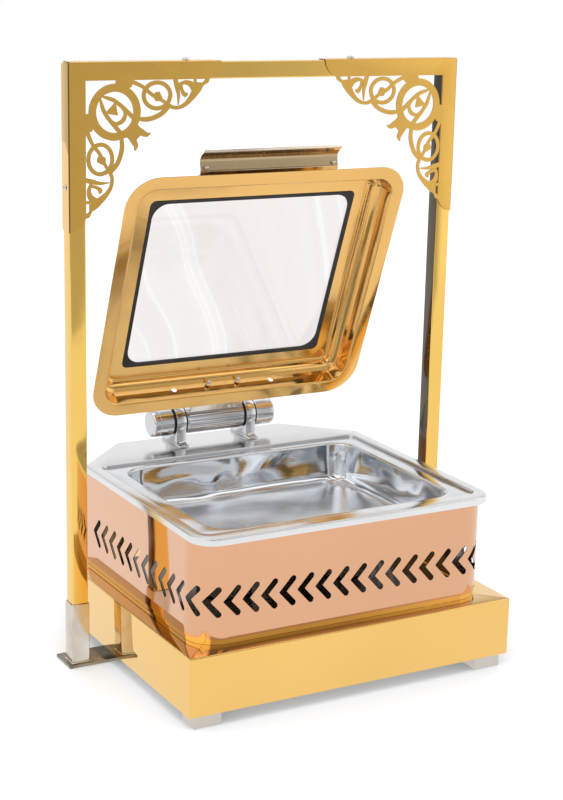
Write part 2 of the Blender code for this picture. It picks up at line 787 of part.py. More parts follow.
def build_burners(mats):
    """Open fuel cups, each with a snuffer cover that swivels on a pin behind it."""
    floor = PLINTH_TOP + GAP
    pin_y = CUP_Y + CUP_RADIUS + PIN_SETBACK
    cover_low = floor + CUP_HEIGHT + GAP
    bore, wide = CUP_RADIUS - CUP_WALL, COVER_TAIL
    cup_profile = [(bore, CUP_WALL), (bore, CUP_HEIGHT), (CUP_RADIUS, CUP_HEIGHT), (CUP_RADIUS, 0.0)]
    pin_profile = [(PIN_SHOULDER, 0.0), (PIN_SHOULDER, CUP_HEIGHT), (PIN_RADIUS, CUP_HEIGHT),
                   (PIN_RADIUS, CUP_HEIGHT + 0.006)]
    reach = CUP_Y - pin_y
    disc = arc((0.0, reach), CUP_RADIUS + 0.001, 0, 345, 23)
    tail = [(-wide, reach), (wide, reach), (wide, 0.003), (0.004, wide), (-0.004, wide), (-wide, 0.003)]
    hole = arc((0.0, 0.0), PIN_RADIUS + GAP, 0, 330, 11)
    for side, sign in (("left", -1), ("right", 1)):
        x = sign * CUP_X
        add_object(f"burner_cup_{side}", turned(cup_profile, (x, CUP_Y, floor)), mats["brushed_steel"])
        pin = turned(pin_profile, (x, pin_y, floor), steps=12)
        add_object(f"burner_pin_{side}", pin, mats["brushed_steel"])
        axis = add_empty(f"burner_axis_{side}", (x, pin_y, cover_low))
        cover = sheet([disc, tail], lambda u, v, face: (u, v, COVER_SHEET * face), holes=[hole])
        add_object(f"burner_cover_{side}", cover, mats["brushed_steel"], axis)


# ---------------------------------------------------------------- hinge

def build_fixed_hinge(mats):
    axis = (HINGE_Y, HINGE_Z)
    seat = DECK_TOP + GAP
    toe, heel = HINGE_Y - FOOT_REACH[0], HINGE_Y + FOOT_REACH[1]
    foot = [(toe, seat), (heel, seat), (heel, seat + FOOT_THICK), (toe, seat + FOOT_THICK)]
    (low, low_z), (high, high_z) = zip(PEDESTAL, (seat + 0.001, HINGE_Z - 0.004))
    pedestal = [(HINGE_Y - low, low_z), (HINGE_Y + low, low_z), (HINGE_Y + high, high_z),
                (HINGE_Y - high, high_z)]
    hub = arc(axis, HUB_RADIUS, 0, 345, 23)
    bore_radius = SHAFT_RADIUS + GAP
    bore = arc(axis, bore_radius, 0, 345, 23)
    place = (0.0, HINGE_Y, HINGE_Z)
    shaft = turned([(SHAFT_RADIUS, -CAP_END + 0.008), (SHAFT_RADIUS, CAP_END - 0.008)], place, "X")
    add_object("hinge_shaft", shaft, mats["brushed_steel"])
    for side, sign in (("left", -1), ("right", 1)):
        ends = sorted((sign * BRACKET_IN, sign * BRACKET_OUT))
        bracket = extruded([foot, pedestal, hub], "X", *ends, holes=[bore])
        add_object(f"hinge_bracket_{side}", bracket, mats["polished_steel"])
        start = BRACKET_OUT + WASHER + 2 * GAP
        profile = [(bore_radius, CAP_END - 0.0077), (bore_radius, start), (BARREL_RADIUS, start),
                   (BARREL_RADIUS, CAP_END - 0.004), (BARREL_RADIUS - 0.0015, CAP_END - 0.001),
                   (BARREL_RADIUS - 0.004, CAP_END)]
        cap = turned([(radius, sign * x) for radius, x in profile], place, "X")
        add_object(f"hinge_cap_{side}", cap, mats["polished_steel"])
        for where, x in (("inner", BARREL_HALF + GAP), ("outer", BRACKET_OUT + GAP)):
            thick = WASHER if where == "outer" else BRACKET_IN - BARREL_HALF - 2 * GAP
            profile = [(bore_radius, x), (WASHER_RADIUS, x), (WASHER_RADIUS, x + thick),
                       (bore_radius, x + thick)]
            washer = turned([(radius, sign * px) for radius, px in profile], place, "X", closed=True)
            add_object(f"hinge_washer_{where}_{side}", washer, mats["black_rubber"])


def build_moving_hinge(mats, lid):
    bore = SHAFT_RADIUS + GAP
    profile = [(bore, -BARREL_HALF), (BARREL_RADIUS, -BARREL_HALF), (BARREL_RADIUS, BARREL_HALF),
               (bore, BARREL_HALF)]
    add_object("hinge_barrel", turned(profile, (0, 0, 0), "X", closed=True), mats["polished_steel"], lid)
    thick = LEAF_SHEET
    back = lid_point(0, wall_depth(LEAF_LOW) - GAP, 0)[1]
    foot, shelf = (lid_point(0, 0, height)[2] for height in (LEAF_LOW, LEAF_SHELF))
    barrel_front = -math.sqrt((BARREL_RADIUS + GAP) ** 2 - (shelf + thick) ** 2) - 0.0012
    angle = [(back, foot), (back + thick, foot), (back + thick, shelf), (barrel_front, shelf),
             (barrel_front, shelf + thick), (back, shelf + thick)]
    leaf = extruded([angle], "X", -LEAF_HALF, LEAF_HALF)
    add_object("hinge_leaf", leaf, mats["brushed_steel"], lid)


# ---------------------------------------------------------------- lid

def lid_point(x, run, height):
    """A point of the closed lid, from its rear edge and flange plane, in the hinge's frame."""
    return (x, -LID_SETBACK - run, -LID_DROP + height)


def lid_ring(inward, height, radius=None, steps=5):
    if radius is None:
        radius = max(LID_RADIUS - inward, WINDOW_RADIUS)
    outline = rounded(LID_HALF - inward, inward, LID_LENGTH - inward, radius, steps)
    return [lid_point(x, run, height) for x, run in outline]


def offset_profile(points, amount):
    """Move an open profile sideways by an amount, keeping its corners sharp."""
    moved = []
    for i, point in enumerate(points):
        before = Vector(points[max(i - 1, 0)])
        after = Vector(points[min(i + 1, len(points) - 1)])
        here = Vector(point)
        first = (here - before).normalized() if i else (after - here).normalized()
        second = (after - here).normalized() if i < len(points) - 1 else first
        normal = Vector((-first.y - second.y, first.x + second.x)).normalized()
        scale = amount / normal.dot(Vector((-first.y, first.x)))
        moved.append(tuple(here + normal * scale))
    return moved


def wall_depth(height):
    """How far in from the lid's edge the outer face of its wall stands at a height."""
    outer = offset_profile(LID_SECTION, LID_SHEET)
    for (d0, h0), (d1, h1) in zip(outer, outer[1:]):
        if h0 <= height <= h1 and h1 > h0:
            return d0 + (d1 - d0) * (height - h0) / (h1 - h0)
    return outer[-1][0]


def build_lid_shell(mats, lid):
    inner = list(LID_SECTION)
    outer = offset_profile(inner, LID_SHEET)
    rings = [lid_ring(*point) for point in inner + outer[::-1]]
    shell = add_object("lid_shell", loft(rings, closed=True), mats["gold_mirror"], lid)
    for x in (-HOLE_X, HOLE_X):
        profile = [(HOLE_RADIUS, 0.0), (HOLE_RADIUS, 0.030)]
        hole = turned(profile, lid_point(x, 0.045, HOLE_HEIGHT), "Y", 12)
        cutter = add_object("hole_cutter", hole, mats["gold_mirror"], lid)
        cutter.hide_render = True
        cutter.display_type = "WIRE"
        modifier = shell.modifiers.new("hole", "BOOLEAN")
        modifier.operation = "DIFFERENCE"
        modifier.object = cutter


def build_window(mats, lid):
    edge = LID_SECTION[-1][0] + GAP                 # where the sheet's opening ends
    seat = LID_SECTION[-1][1] + LID_SHEET + GAP
    glass_low = seat + 0.0020
    groove_low, groove_high = glass_low - GAP, glass_low + GLASS + GAP
    outer, groove, lip, inner = edge - 0.0080, edge - 0.0052, edge + 0.0010, edge + 0.0062
    sharp, wide = WINDOW_RADIUS, GLASS_RADIUS
    top = groove_high + 0.0012
    rings = [lid_ring(edge, GASKET_FOOT, sharp), lid_ring(edge, seat, sharp), lid_ring(outer, seat, sharp),
             lid_ring(outer, top, sharp), lid_ring(lip, top, wide), lid_ring(lip, groove_high, wide),
             lid_ring(groove, groove_high, sharp), lid_ring(groove, groove_low, sharp),
             lid_ring(inner, groove_low, wide), lid_ring(inner, GASKET_FOOT, wide)]
    add_object("window_gasket", loft(rings, closed=True), mats["black_rubber"], lid)
    rim = groove + GAP
    glass = loft([lid_ring(rim, glass_low, sharp), lid_ring(rim, glass_low + GLASS, sharp)])
    add_object("window_glass", glass, mats["clear_glass"], lid)


def section_along_x(outline, half):
    """A shape drawn as (run, height) on the lid, as wide as the handle."""
    def place(u, v, side):
        return lid_point(half if side else -half, u, v)
    return sheet([outline], place)


def build_handle(mats, lid):
    """A steel angle on the front wall, and the dished grip strip fixed behind it."""
    half, thick, face = GRIP_HALF, ANGLE_SHEET, GRIP_FACE
    wall = LID_LENGTH - wall_depth(0.0038) + GAP
    angle = [(wall, GRIP_FOOT), (wall + thick, GRIP_FOOT), (wall + thick, face), (wall + 0.0185, face),
             (wall + 0.0185, face + thick), (wall, face + thick)]
    add_object("handle_angle", section_along_x(angle, half), mats["brushed_steel"], lid)
    base = face + thick + GAP
    steps = 6
    dish = [(wall + 0.0040, base), (wall + FLAT_END, base)]
    for i in range(1, steps + 1):
        rise = DISH_RISE * math.sin(math.pi * i / steps)
        dish.append((wall + FLAT_END + DISH_RUN * i / steps, base + rise))
    dish.append((wall + LIP_END, base - 0.0010))
    back = offset_profile(dish, GRIP_SHEET)
    add_object("lid_handle", section_along_x(dish + back[::-1], half), mats["gold_satin"], lid)
    for name, x, run, height in (("low", 0.105, wall + 0.0095, face), ("high", 0.110, wall + 0.0235, base)):
        for side, sign in (("left", -1), ("right", 1)):
            head = [(radius, -rise) for radius, rise in round_head(0.0036, 0.0020)]
            screw = turned(head, lid_point(sign * x, run, height - GAP - 0.0002), "Z", 12)
            add_object(f"handle_screw_{name}_{side}", screw, mats["brushed_steel"], lid)


def build_dome_nuts(mats, lid):
    """Screws that hold the hinge leaf, with domed nuts inside the lid."""
    for side, sign in (("left", -1), ("right", 1)):
        profile = [(0.0042, 0.0), (0.0042, -0.0030), (0.0033, -0.0034), (0.0033, -0.0070), (0.0022, -0.0090),
                   (0.0008, -0.0098)]
        nut = turned(profile, lid_point(sign * NUT_X, NUT_SEAT, 0.0205), "Y", 12)
        add_object(f"leaf_nut_{side}", nut, mats["polished_steel"], lid)


def main():
    clear_scene()
    mats = make_materials()
    build_plinth(mats)
    build_stand(mats)
    build_brackets(mats)
    build_body(mats)
    build_deck(mats)
    build_pans(mats)
    build_burners(mats)
    build_fixed_hinge(mats)
    lid = add_empty("lid_axis", (0.0, HINGE_Y, HINGE_Z), -OPEN_ANGLE)
    build_moving_hinge(mats, lid)
    build_lid_shell(mats, lid)
    build_window(mats, lid)
    build_handle(mats, lid)
    build_dome_nuts(mats, lid)


main()
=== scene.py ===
"""Looks of a buffet chafing dish under an arch stand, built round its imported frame.

Metres, +Z up, -Y the guest's side.  The lid's pieces are drawn shut, in the frame of the
hinge's axis, and turned to the angle at which the lid stands open at rest.
"""
import json
import math

import bmesh
import bpy
from mathutils import Matrix, Vector, noise
from mathutils.geometry import delaunay_2d_cdt


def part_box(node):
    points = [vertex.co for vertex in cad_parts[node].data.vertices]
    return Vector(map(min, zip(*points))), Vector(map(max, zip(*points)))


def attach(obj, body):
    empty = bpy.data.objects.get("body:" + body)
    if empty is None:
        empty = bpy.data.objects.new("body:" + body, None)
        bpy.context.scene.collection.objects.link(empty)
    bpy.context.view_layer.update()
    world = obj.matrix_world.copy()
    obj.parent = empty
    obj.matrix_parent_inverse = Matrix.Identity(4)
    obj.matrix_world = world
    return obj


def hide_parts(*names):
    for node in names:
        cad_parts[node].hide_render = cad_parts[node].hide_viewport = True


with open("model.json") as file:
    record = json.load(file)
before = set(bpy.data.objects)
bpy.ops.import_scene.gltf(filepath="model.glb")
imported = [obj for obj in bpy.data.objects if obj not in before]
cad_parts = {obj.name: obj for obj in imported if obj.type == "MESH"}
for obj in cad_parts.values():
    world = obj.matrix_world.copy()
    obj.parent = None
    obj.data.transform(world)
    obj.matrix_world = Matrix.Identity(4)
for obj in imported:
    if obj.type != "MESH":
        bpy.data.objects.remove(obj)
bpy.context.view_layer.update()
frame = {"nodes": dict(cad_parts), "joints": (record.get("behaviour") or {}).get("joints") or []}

SIDES = (("left", -1), ("right", 1))

# clearance between neighbours, and the angle from which an edge is shaded sharp
GAP = 0.0003
SHARP_ANGLE = 35

# plinth and stand
PLINTH_CUT = 0.105
PLINTH_SHEET = 0.0015
FOLD_RADIUS = 0.0020
PLINTH_CORNER = 0.0018
SEAM_LENGTH_INSIDE = 0.010
SEAM_HALF_WIDTH = 0.0003
TUBE_WALL = 0.0012
TUBE_RADIUS = 0.0022
WELD = 0.0016
ARCH_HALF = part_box("arch_upright_right")[1].x
ARCH_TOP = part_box("arch_top_bar")[1].z
ARCH_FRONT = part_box("arch_top_bar")[0].y
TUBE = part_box("arch_top_bar")[1].y - ARCH_FRONT

# corner brackets: sheet, arm length, flange depth and radius of the folds
PLATE = 0.0012
PLATE_ARM = 0.243
FLANGE_DEPTH = 0.0265
FOLD = 0.0020

# body: the slots' pitch and size are along and up the skirt
BODY_SHEET = 0.0012
BODY_RADIUS = 0.047
BODY_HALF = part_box("body_ring")[1].x
BODY_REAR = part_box("body_ring")[1].y
RING_LOW, RING_TOP = (corner.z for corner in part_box("body_ring"))
SKIRT_LOW, SKIRT_TOP = (corner.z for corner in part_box("copper_skirt"))
SLOT_PITCH = 0.030
SLOT_MIDDLE = 0.176
SLOT_WIDTH = 0.0095
SLOT_RUN = 0.017
SLOT_RISE = 0.0185
NOTCH_RADIUS = 0.014

# deck and pans; a group of four is a half width, front, rear and corner radius
DECK_SHEET = 0.0012
DECK_RADIUS = 0.037
DECK_CUT = 0.099
DECK_LOW, DECK_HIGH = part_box("deck_plate")
LEDGE_TOP = 0.2685
RECESS = (0.2335, -0.2318, 0.1375, 0.014)
WELL = (0.2155, -0.2222, 0.1257, 0.044)
PAN_SHEET = 0.0010
PAN_FLANGE = (0.2310, -0.2293, 0.1350, 0.012)
FOOD_MOUTH = (0.2060, -0.2145, 0.1180, 0.040)
WATER_MOUTH = (0.2125, -0.2195, 0.1230, 0.043)
PAN_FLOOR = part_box("food_pan")[0].z
PAN_TAPER = 0.007
PAN_FOOT = 0.014
PAN_SEED = 5

# hinge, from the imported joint
HINGE = next(joint for joint in frame["joints"] if joint["name"] == "lid_hinge")
HINGE_PLACE = Vector(HINGE["pos_m"])
OPEN_ANGLE = math.radians(HINGE["range_deg"][1])
LID_TURN = Matrix.Translation(HINGE_PLACE) @ Matrix.Rotation(-OPEN_ANGLE, 4, "X")
BARREL_RADIUS = 0.0235
HUB_RADIUS = 0.0255
HUB_SHOULDER = 0.010
SHAFT_RADIUS = 0.010
STRAP_HALF = 0.0205
STRAP_FOOT_HALF = 0.034
STRAP_FOOT = 0.004
STRAP_FILLET = 0.006
CROWN = 0.0055
CAP_GROOVE = 0.0005
FLUTES = 30
FLUTE_DEPTH = 0.0005
BARREL_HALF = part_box("hinge_barrel")[1].x
STRAP_IN, STRAP_OUT = (corner.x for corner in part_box("hinge_bracket_right"))
CAP_START, CAP_END = (corner.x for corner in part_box("hinge_cap_right"))

# lid: the section runs inward from the flange's edge, and up from its plane
LID_HALF = 0.2417
LID_LENGTH = 0.427
LID_RADIUS = 0.052
LID_SETBACK = 0.0526
LID_DROP = 0.037
LID_SHEET = 0.0012
LID_SECTION = (
    (0.0, 0.0), (0.0200, 0.0), (0.0218, 0.0018), (0.0240, 0.0190), (0.0262, 0.0262),
    (0.0315, 0.0295), (0.0350, 0.0305), (0.0372, 0.0335), (0.0392, 0.0385),
    (0.0425, 0.0410), (0.0622, 0.0410))
WINDOW_RADIUS = 0.010
GLASS_RADIUS = 0.026
GLASS = 0.004
HOLE_X = 0.089
HOLE_HEIGHT = 0.019
HOLE_RADIUS = 0.0045
NUT_X = 0.027
NUT_SEAT = 0.0262
GRIP_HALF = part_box("lid_handle")[1].x
GRIP_SEAT = LID_LENGTH - 0.0206
GRIP_SHEET = 0.0013
ANGLE_SHEET = 0.0015
ANGLE_FACE = 0.016
LIP_START = 0.0435

# camera: degrees and millimetres of lens
CAMERA_PLACE = (-1.286593, -2.316248, 1.071989)
CAMERA_YAW = 29.3716
CAMERA_PITCH = 14.3958
CAMERA_ROLL = 1.3031
CAMERA_LENS = 78.785

# studio: strength of what the metal mirrors, and of what lights the matt surfaces
FLOOR_GLOW = 0.80
ROOM_GLOW = 0.54
SWEEP_GLOW = 0.42
MATT_GLOW = 1.30
KEY_PLACE = (-0.9, -1.2, 2.6)
KEY_TARGET = (0.0, 0.0, 0.3)
KEY_SIZE = (1.6, 1.2)
KEY_WATTS = 14.0

# how far brushing draws its lines out: small along the brushing
BRUSHED_UP = (1.0, 1.0, 0.02)
BRUSHED_ACROSS = (0.02, 1.0, 1.0)


# ---------------------------------------------------------------- outlines

def quarter(steps):
    """Angles from zero to a right angle, in radians."""
    return [math.pi / 2 * i / steps for i in range(steps + 1)]


def arc(centre, radius, start, end, steps):
    """Points round a centre from one angle to another, in degrees."""
    points = []
    for i in range(steps + 1):
        angle = math.radians(start + (end - start) * i / steps)
        points.append((centre[0] + radius * math.cos(angle), centre[1] + radius * math.sin(angle)))
    return points


def rounded(half, front, rear, radius, steps=18):
    """Rectangle with four round corners, anticlockwise from the left front corner."""
    left, right = -half + radius, half - radius
    low, high = front + radius, rear - radius
    return (arc((left, low), radius, 180, 270, steps) + arc((right, low), radius, 270, 360, steps)
            + arc((right, high), radius, 0, 90, steps) + arc((left, high), radius, 90, 180, steps))


def inset(shape, amount):
    """A (half, front, rear, radius) shape moved inward."""
    half, front, rear, radius = shape
    return (half - amount, front + amount, rear - amount, max(radius - amount, 0.002))


def soft_corner(before, corner, after, radius, steps):
    """Points round one corner, tangent to both sides."""
    corner = Vector(corner)
    first, second = Vector(before) - corner, Vector(after) - corner
    angle = first.angle(second)
    reach = min(radius / math.tan(angle / 2), first.length * 0.45, second.length * 0.45)
    start, end = corner + first.normalized() * reach, corner + second.normalized() * reach
    points = []
    for i in range(steps + 1):
        t = i / steps
        points.append(tuple(start * (1 - t) ** 2 + corner * 2 * t * (1 - t) + end * t ** 2))
    return points


def soft_polygon(points, radius, steps=4):
    """A closed outline with every corner rounded."""
    soft = []
    for i, corner in enumerate(points):
        soft += soft_corner(points[i - 1], corner, points[(i + 1) % len(points)], radius, steps)
    return soft


def soft_path(points, radius, steps=4):
    """An open path with every corner between its ends rounded."""
    soft = [tuple(points[0])]
    for before, corner, after in zip(points, points[1:], points[2:]):
        soft += soft_corner(before, corner, after, radius, steps)
    return soft + [tuple(points[-1])]


def offset_path(points, amount):
    """Move an open path sideways by an amount."""
    moved = []
    for i, point in enumerate(points):
        before = Vector(points[max(i - 1, 0)])
        after = Vector(points[min(i + 1, len(points) - 1)])
        here = Vector(point)
        first = (here - before).normalized() if i else (after - here).normalized()
        second = (after - here).normalized() if i < len(points) - 1 else first
        normal = Vector((-first.y - second.y, first.x + second.x)).normalized()
        scale = amount / normal.dot(Vector((-first.y, first.x)))
        moved.append(tuple(here + normal * scale))
    return moved


def cut_rectangle(half, front, rear, cut):
    """Rectangle with square front corners and cut rear corners."""
    return [(-half, front), (half, front), (half, rear - cut), (half - cut, rear),
            (-half + cut, rear), (-half, rear - cut)]


def at_height(outline, z):
    return [(x, y, z) for x, y in outline]


# ---------------------------------------------------------------- solids

def band(bm, low, high):
    """Quads between two loops of equal length."""
    for i in range(len(low)):
        j = (i + 1) % len(low)
        bm.faces.new((low[i], low[j], high[j], high[i]))


def loft(rings, closed=False):
    """Skin a run of rings with equal point counts; an open run gets a cap at each end."""
    bm = bmesh.new()
    rows = [[bm.verts.new(point) for point in ring] for ring in rings]
    pairs = list(zip(rows, rows[1:]))
    if closed:
        pairs.append((rows[-1], rows[0]))
    for low, high in pairs:
        band(bm, low, high)
    if not closed:
        bm.faces.new(rows[0])
        bm.faces.new(rows[-1])
    return bm


def turned(profile, place, axis="Z", steps=64, closed=False, flute=None):
    """Turn (radius, height) points about an axis; flute(angle, height) adds to the radius."""
    rings = []
    for radius, height in profile:
        ring = []
        for i in range(steps):
            angle = 2 * math.pi * i / steps
            reach = radius + (flute(angle, height) if flute and radius > SHAFT_RADIUS * 1.5 else 0.0)
            u, v = reach * math.cos(angle), reach * math.sin(angle)
            offset = {"Z": (u, v, height), "Y": (u, height, v), "X": (height, u, v)}[axis]
            ring.append(tuple(Vector(place) + Vector(offset)))
        rings.append(ring)
    return loft(rings, closed)


def inside(point, polygon):
    """Whether a point lies in a polygon, by counting the edges beside it."""
    hit = False
    x, y = point
    for (x0, y0), (x1, y1) in zip(polygon, polygon[1:] + polygon[:1]):
        if (y0 > y) != (y1 > y) and x < (x1 - x0) * (y - y0) / (y1 - y0) + x0:
            hit = not hit
    return hit


def covered(point, polygons):
    """Whether a point lies in one of some (low corner, high corner, polygon) areas."""
    x, y = point
    return any(low[0] <= x <= high[0] and low[1] <= y <= high[1] and inside(point, polygon)
               for low, high, polygon in polygons)


def with_bounds(polygons):
    """Each polygon with its low and high corners."""
    bounded = []
    for polygon in polygons:
        across, along = zip(*polygon)
        bounded.append(((min(across), min(along)), (max(across), max(along)), polygon))
    return bounded


def triangulate(points, edges, faces):
    result = delaunay_2d_cdt([Vector(p) for p in points], edges, faces, 0, 1e-6)
    return result[0], result[2], result[5]


def edge_count(triangles):
    """How many triangles use each edge."""
    count = {}
    for a, b, c in triangles:
        for edge in ((a, b), (b, c), (c, a)):
            key = tuple(sorted(edge))
            count[key] = count.get(key, 0) + 1
    return count


def anticlockwise(polygon):
    area = sum(x0 * y1 - x1 * y0 for (x0, y0), (x1, y1) in zip(polygon, polygon[1:] + polygon[:1]))
    return polygon if area > 0 else polygon[::-1]


def merged_outline(areas):
    """Points and edges round the union of some areas that overlap."""
    points, faces = [], []
    for polygon in map(anticlockwise, areas):
        faces.append(list(range(len(points), len(points) + len(polygon))))
        points += polygon
    points, triangles, owners = triangulate(points, [], faces)
    count = edge_count(t for t, owner in zip(triangles, owners) if owner)
    rim = [edge for edge, uses in count.items() if uses == 1]
    used = sorted({i for edge in rim for i in edge})
    number = {old: new for new, old in enumerate(used)}
    return [tuple(points[i]) for i in used], [(number[a], number[b]) for a, b in rim]


def flat_triangles(areas, holes=(), folds=()):
    """Triangles of the union of areas, less the holes, with an edge along every fold."""
    points, edges = merged_outline(areas)
    for polygon in holes:
        start = len(points)
        points += polygon
        edges += [(start + i, start + (i + 1) % len(polygon)) for i in range(len(polygon))]
    for fold in folds:
        edges.append((len(points), len(points) + 1))
        points += fold
    points, triangles, _ = triangulate(points, edges, [])
    solid, empty = with_bounds(areas), with_bounds(holes)
    kept = []
    for triangle in triangles:
        middle = sum((points[i] for i in triangle), Vector((0.0, 0.0))) / 3
        if covered(middle, solid) and not covered(middle, empty):
            kept.append(triangle)
    return points, kept


def sheet(areas, place, holes=(), folds=(), tags=(0, 0, 0)):
    """A closed sheet from place(u, v, 0) to place(u, v, 1); tags are its faces' and rim's materials."""
    points, triangles = flat_triangles(areas, holes, folds)
    used = sorted({i for triangle in triangles for i in triangle})
    bm = bmesh.new()
    sides = [{i: bm.verts.new(place(points[i].x, points[i].y, side)) for i in used} for side in (0, 1)]
    for a, b, c in triangles:
        bm.faces.new((sides[0][a], sides[0][b], sides[0][c])).material_index = tags[0]
        bm.faces.new((sides[1][c], sides[1][b], sides[1][a])).material_index = tags[1]
    for a, b in (edge for edge, uses in edge_count(triangles).items() if uses == 1):
        bm.faces.new((sides[0][a], sides[0][b], sides[1][b], sides[1][a])).material_index = tags[2]
    return bm


def fill_between(bm, first, second):
    """Fill the flat space between two loops that lie at one height."""
    outer, inner = sorted((first, second), key=lambda row: -max(abs(v.co.x) for v in row))
    points, triangles = flat_triangles([[tuple(v.co.xy) for v in outer]], [[tuple(v.co.xy) for v in inner]])
    lookup = outer + inner
    nearest = [min(lookup, key=lambda v: (v.co.xy - point).length) for point in points]
    for triangle in triangles:
        bm.faces.new([nearest[i] for i in triangle])


def extruded(outline, low, high, edge):
    """An outline pushed along X, with its two end edges rounded."""
    rings = []
    for end, side in ((low, 1), (high, -1)):
        for angle in quarter(3)[::side]:
            at = end + side * edge * (1 - math.cos(angle))
            ring = offset_loop(outline, -edge * (1 - math.sin(angle)))
            rings.append([(at, u, v) for u, v in ring])
    return loft(rings)


def offset_loop(outline, amount):
    """Move a closed anticlockwise outline outward by an amount."""
    moved = []
    for i, point in enumerate(outline):
        before, after = Vector(outline[i - 1]), Vector(outline[(i + 1) % len(outline)])
        along = (after - before).normalized()
        moved.append((point[0] + along.y * amount, point[1] - along.x * amount))
    return moved


def softened(node, width, segments=3):
    """A node's own solid with its sharp edges rounded."""
    bm = bmesh.new()
    bm.from_mesh(frame["nodes"][node].data)
    bmesh.ops.remove_doubles(bm, verts=bm.verts, dist=1e-6)
    bmesh.ops.dissolve_limit(bm, angle_limit=math.radians(1), verts=bm.verts, edges=bm.edges)
    edges = [edge for edge in bm.edges if edge.calc_face_angle(0.0) > math.radians(30)]
    bmesh.ops.bevel(bm, geom=edges, offset=width, segments=segments, profile=0.5, affect="EDGES",
                    clamp_overlap=True)
    return bm


def as_mesh(bm, name):
    bmesh.ops.recalc_face_normals(bm, faces=bm.faces)
    mesh = bpy.data.meshes.new(name)
    bm.to_mesh(mesh)
    bm.free()
    return mesh


def placed(name, data):
    """A new object in the scene."""
    made = bpy.data.objects.new(name, data)
    bpy.context.scene.collection.objects.link(made)
    return made


def add_piece(name, bm, finish, body="root", nodes=(), turn=None, others=()):
    """A finished piece that rides on a body; others are finishes for some of its faces."""
    if turn is not None:
        bmesh.ops.transform(bm, matrix=turn, verts=bm.verts)
    mesh = as_mesh(bm, name)
    mesh.shade_smooth()
    mesh.set_sharp_from_angle(angle=math.radians(SHARP_ANGLE))
    for each in (finish, *others):
        mesh.materials.append(bpy.data.materials[each])
    piece = placed(name, mesh)
    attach(piece, body)
    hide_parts(*nodes)
    return piece


def add_lid_piece(name, bm, finish, nodes):
    """A piece drawn on the shut lid."""
    return add_piece(name, bm, finish, "lid", nodes, LID_TURN)


def give_finish(node, finish):
    """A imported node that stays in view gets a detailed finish."""
    materials = frame["nodes"][node].data.materials
    materials.clear()
    materials.append(bpy.data.materials[finish])


def screw(radius, height, place, axis, sign):
    """A domed screw head with a cross recess."""
    crown = [(radius * math.cos(t), height * (0.35 + 0.65 * math.sin(t))) for t in quarter(6)[:-1]]
    profile = [(radius * 0.96, 0.0), (radius, height * 0.12)] + crown + [(radius * 0.12, height)]
    head = turned([(r, sign * h) for r, h in profile], (0, 0, 0), axis, 24)
    cutter = bmesh.new()
    for along, across in ((0.62, 0.13), (0.13, 0.62)):
        size = {"X": (0.8 * height, along * radius, across * radius),
                "Y": (along * radius, 0.8 * height, across * radius),
                "Z": (along * radius, across * radius, 0.8 * height)}[axis]
        centre = [0.0, 0.0, 0.0]
        centre["XYZ".index(axis)] = sign * height * 1.25
        made = bmesh.ops.create_cube(cutter, size=2.0)
        for vert in made["verts"]:
            vert.co = Vector(centre) + Vector([vert.co[k] * size[k] for k in range(3)])
    return cut_away(as_mesh(head, "head"), [as_mesh(cutter, "cross")], place)


def cut_away(solid, cutters, place=(0, 0, 0)):
    """A mesh less some cutter meshes, as a bmesh moved to its place."""
    body = placed("solid", solid)
    tools = []
    for mesh in cutters:
        tool = placed("tool", mesh)
        modifier = body.modifiers.new("cut", "BOOLEAN")
        modifier.operation = "DIFFERENCE"
        modifier.solver = "EXACT"
        modifier.use_self = True
        modifier.object = tool
        tools.append(tool)
    evaluated = body.evaluated_get(bpy.context.evaluated_depsgraph_get())
    bm = bmesh.new()
    bm.from_mesh(evaluated.to_mesh())
    bmesh.ops.translate(bm, vec=Vector(place), verts=bm.verts)
    for obj in [body] + tools:
        bpy.data.objects.remove(obj, do_unlink=True)
    return bm


# ---------------------------------------------------------------- shader groups

def new_group(name, inputs, outputs):
    """A node group with its input and output sockets."""
    group = bpy.data.node_groups.new(name, "ShaderNodeTree")
    for label, kind, value in inputs:
        socket = group.interface.new_socket(label, in_out="INPUT", socket_type=f"NodeSocket{kind}")
        socket.default_value = value
    for label, kind in outputs:
        group.interface.new_socket(label, in_out="OUTPUT", socket_type=f"NodeSocket{kind}")
    return group, group.nodes.new("NodeGroupInput").outputs, group.nodes.new("NodeGroupOutput").inputs


def add_node(tree, kind, settings=None, **inputs):
    """A shader node; an input is a value or another node's socket, and _0 is its first."""
    node = tree.nodes.new(f"ShaderNode{kind}")
    for name, value in (settings or {}).items():
        setattr(node, name, value)
    for name, value in inputs.items():
        label = int(name[1:]) if name[0] == "_" else name.replace("_", " ")
        socket = node.inputs[label]
        if isinstance(value, bpy.types.NodeSocket):
            tree.links.new(value, socket)
        else:
            socket.default_value = value
    return node


def object_place(tree):
    return add_node(tree, "TexCoord").outputs["Object"]


def math_node(tree, operation, first, second):
    return add_node(tree, "Math", {"operation": operation}, _0=first, _1=second).outputs[0]


def smooth_step(tree, value, low, high):
    node = add_node(tree, "MapRange", {"interpolation_type": "SMOOTHSTEP"}, Value=value, From_Min=low,
                    From_Max=high)
    return node.outputs["Result"]


def mixed(tree, factor, first, second, kind="RGBA"):
    return add_node(tree, "Mix", {"data_type": kind}, Factor=factor, A=first, B=second).outputs["Result"]


def ramp(tree, value, stops):
    """Grey levels at places from 0 to 1."""
    node = add_node(tree, "ValToRGB", Fac=value)
    points = node.color_ramp.elements
    while len(points) < len(stops):
        points.new(0.5)
    for point, (at, level) in zip(points, stops):
        point.position = at
        point.color = (level, level, level, 1.0)
    return node.outputs["Color"]


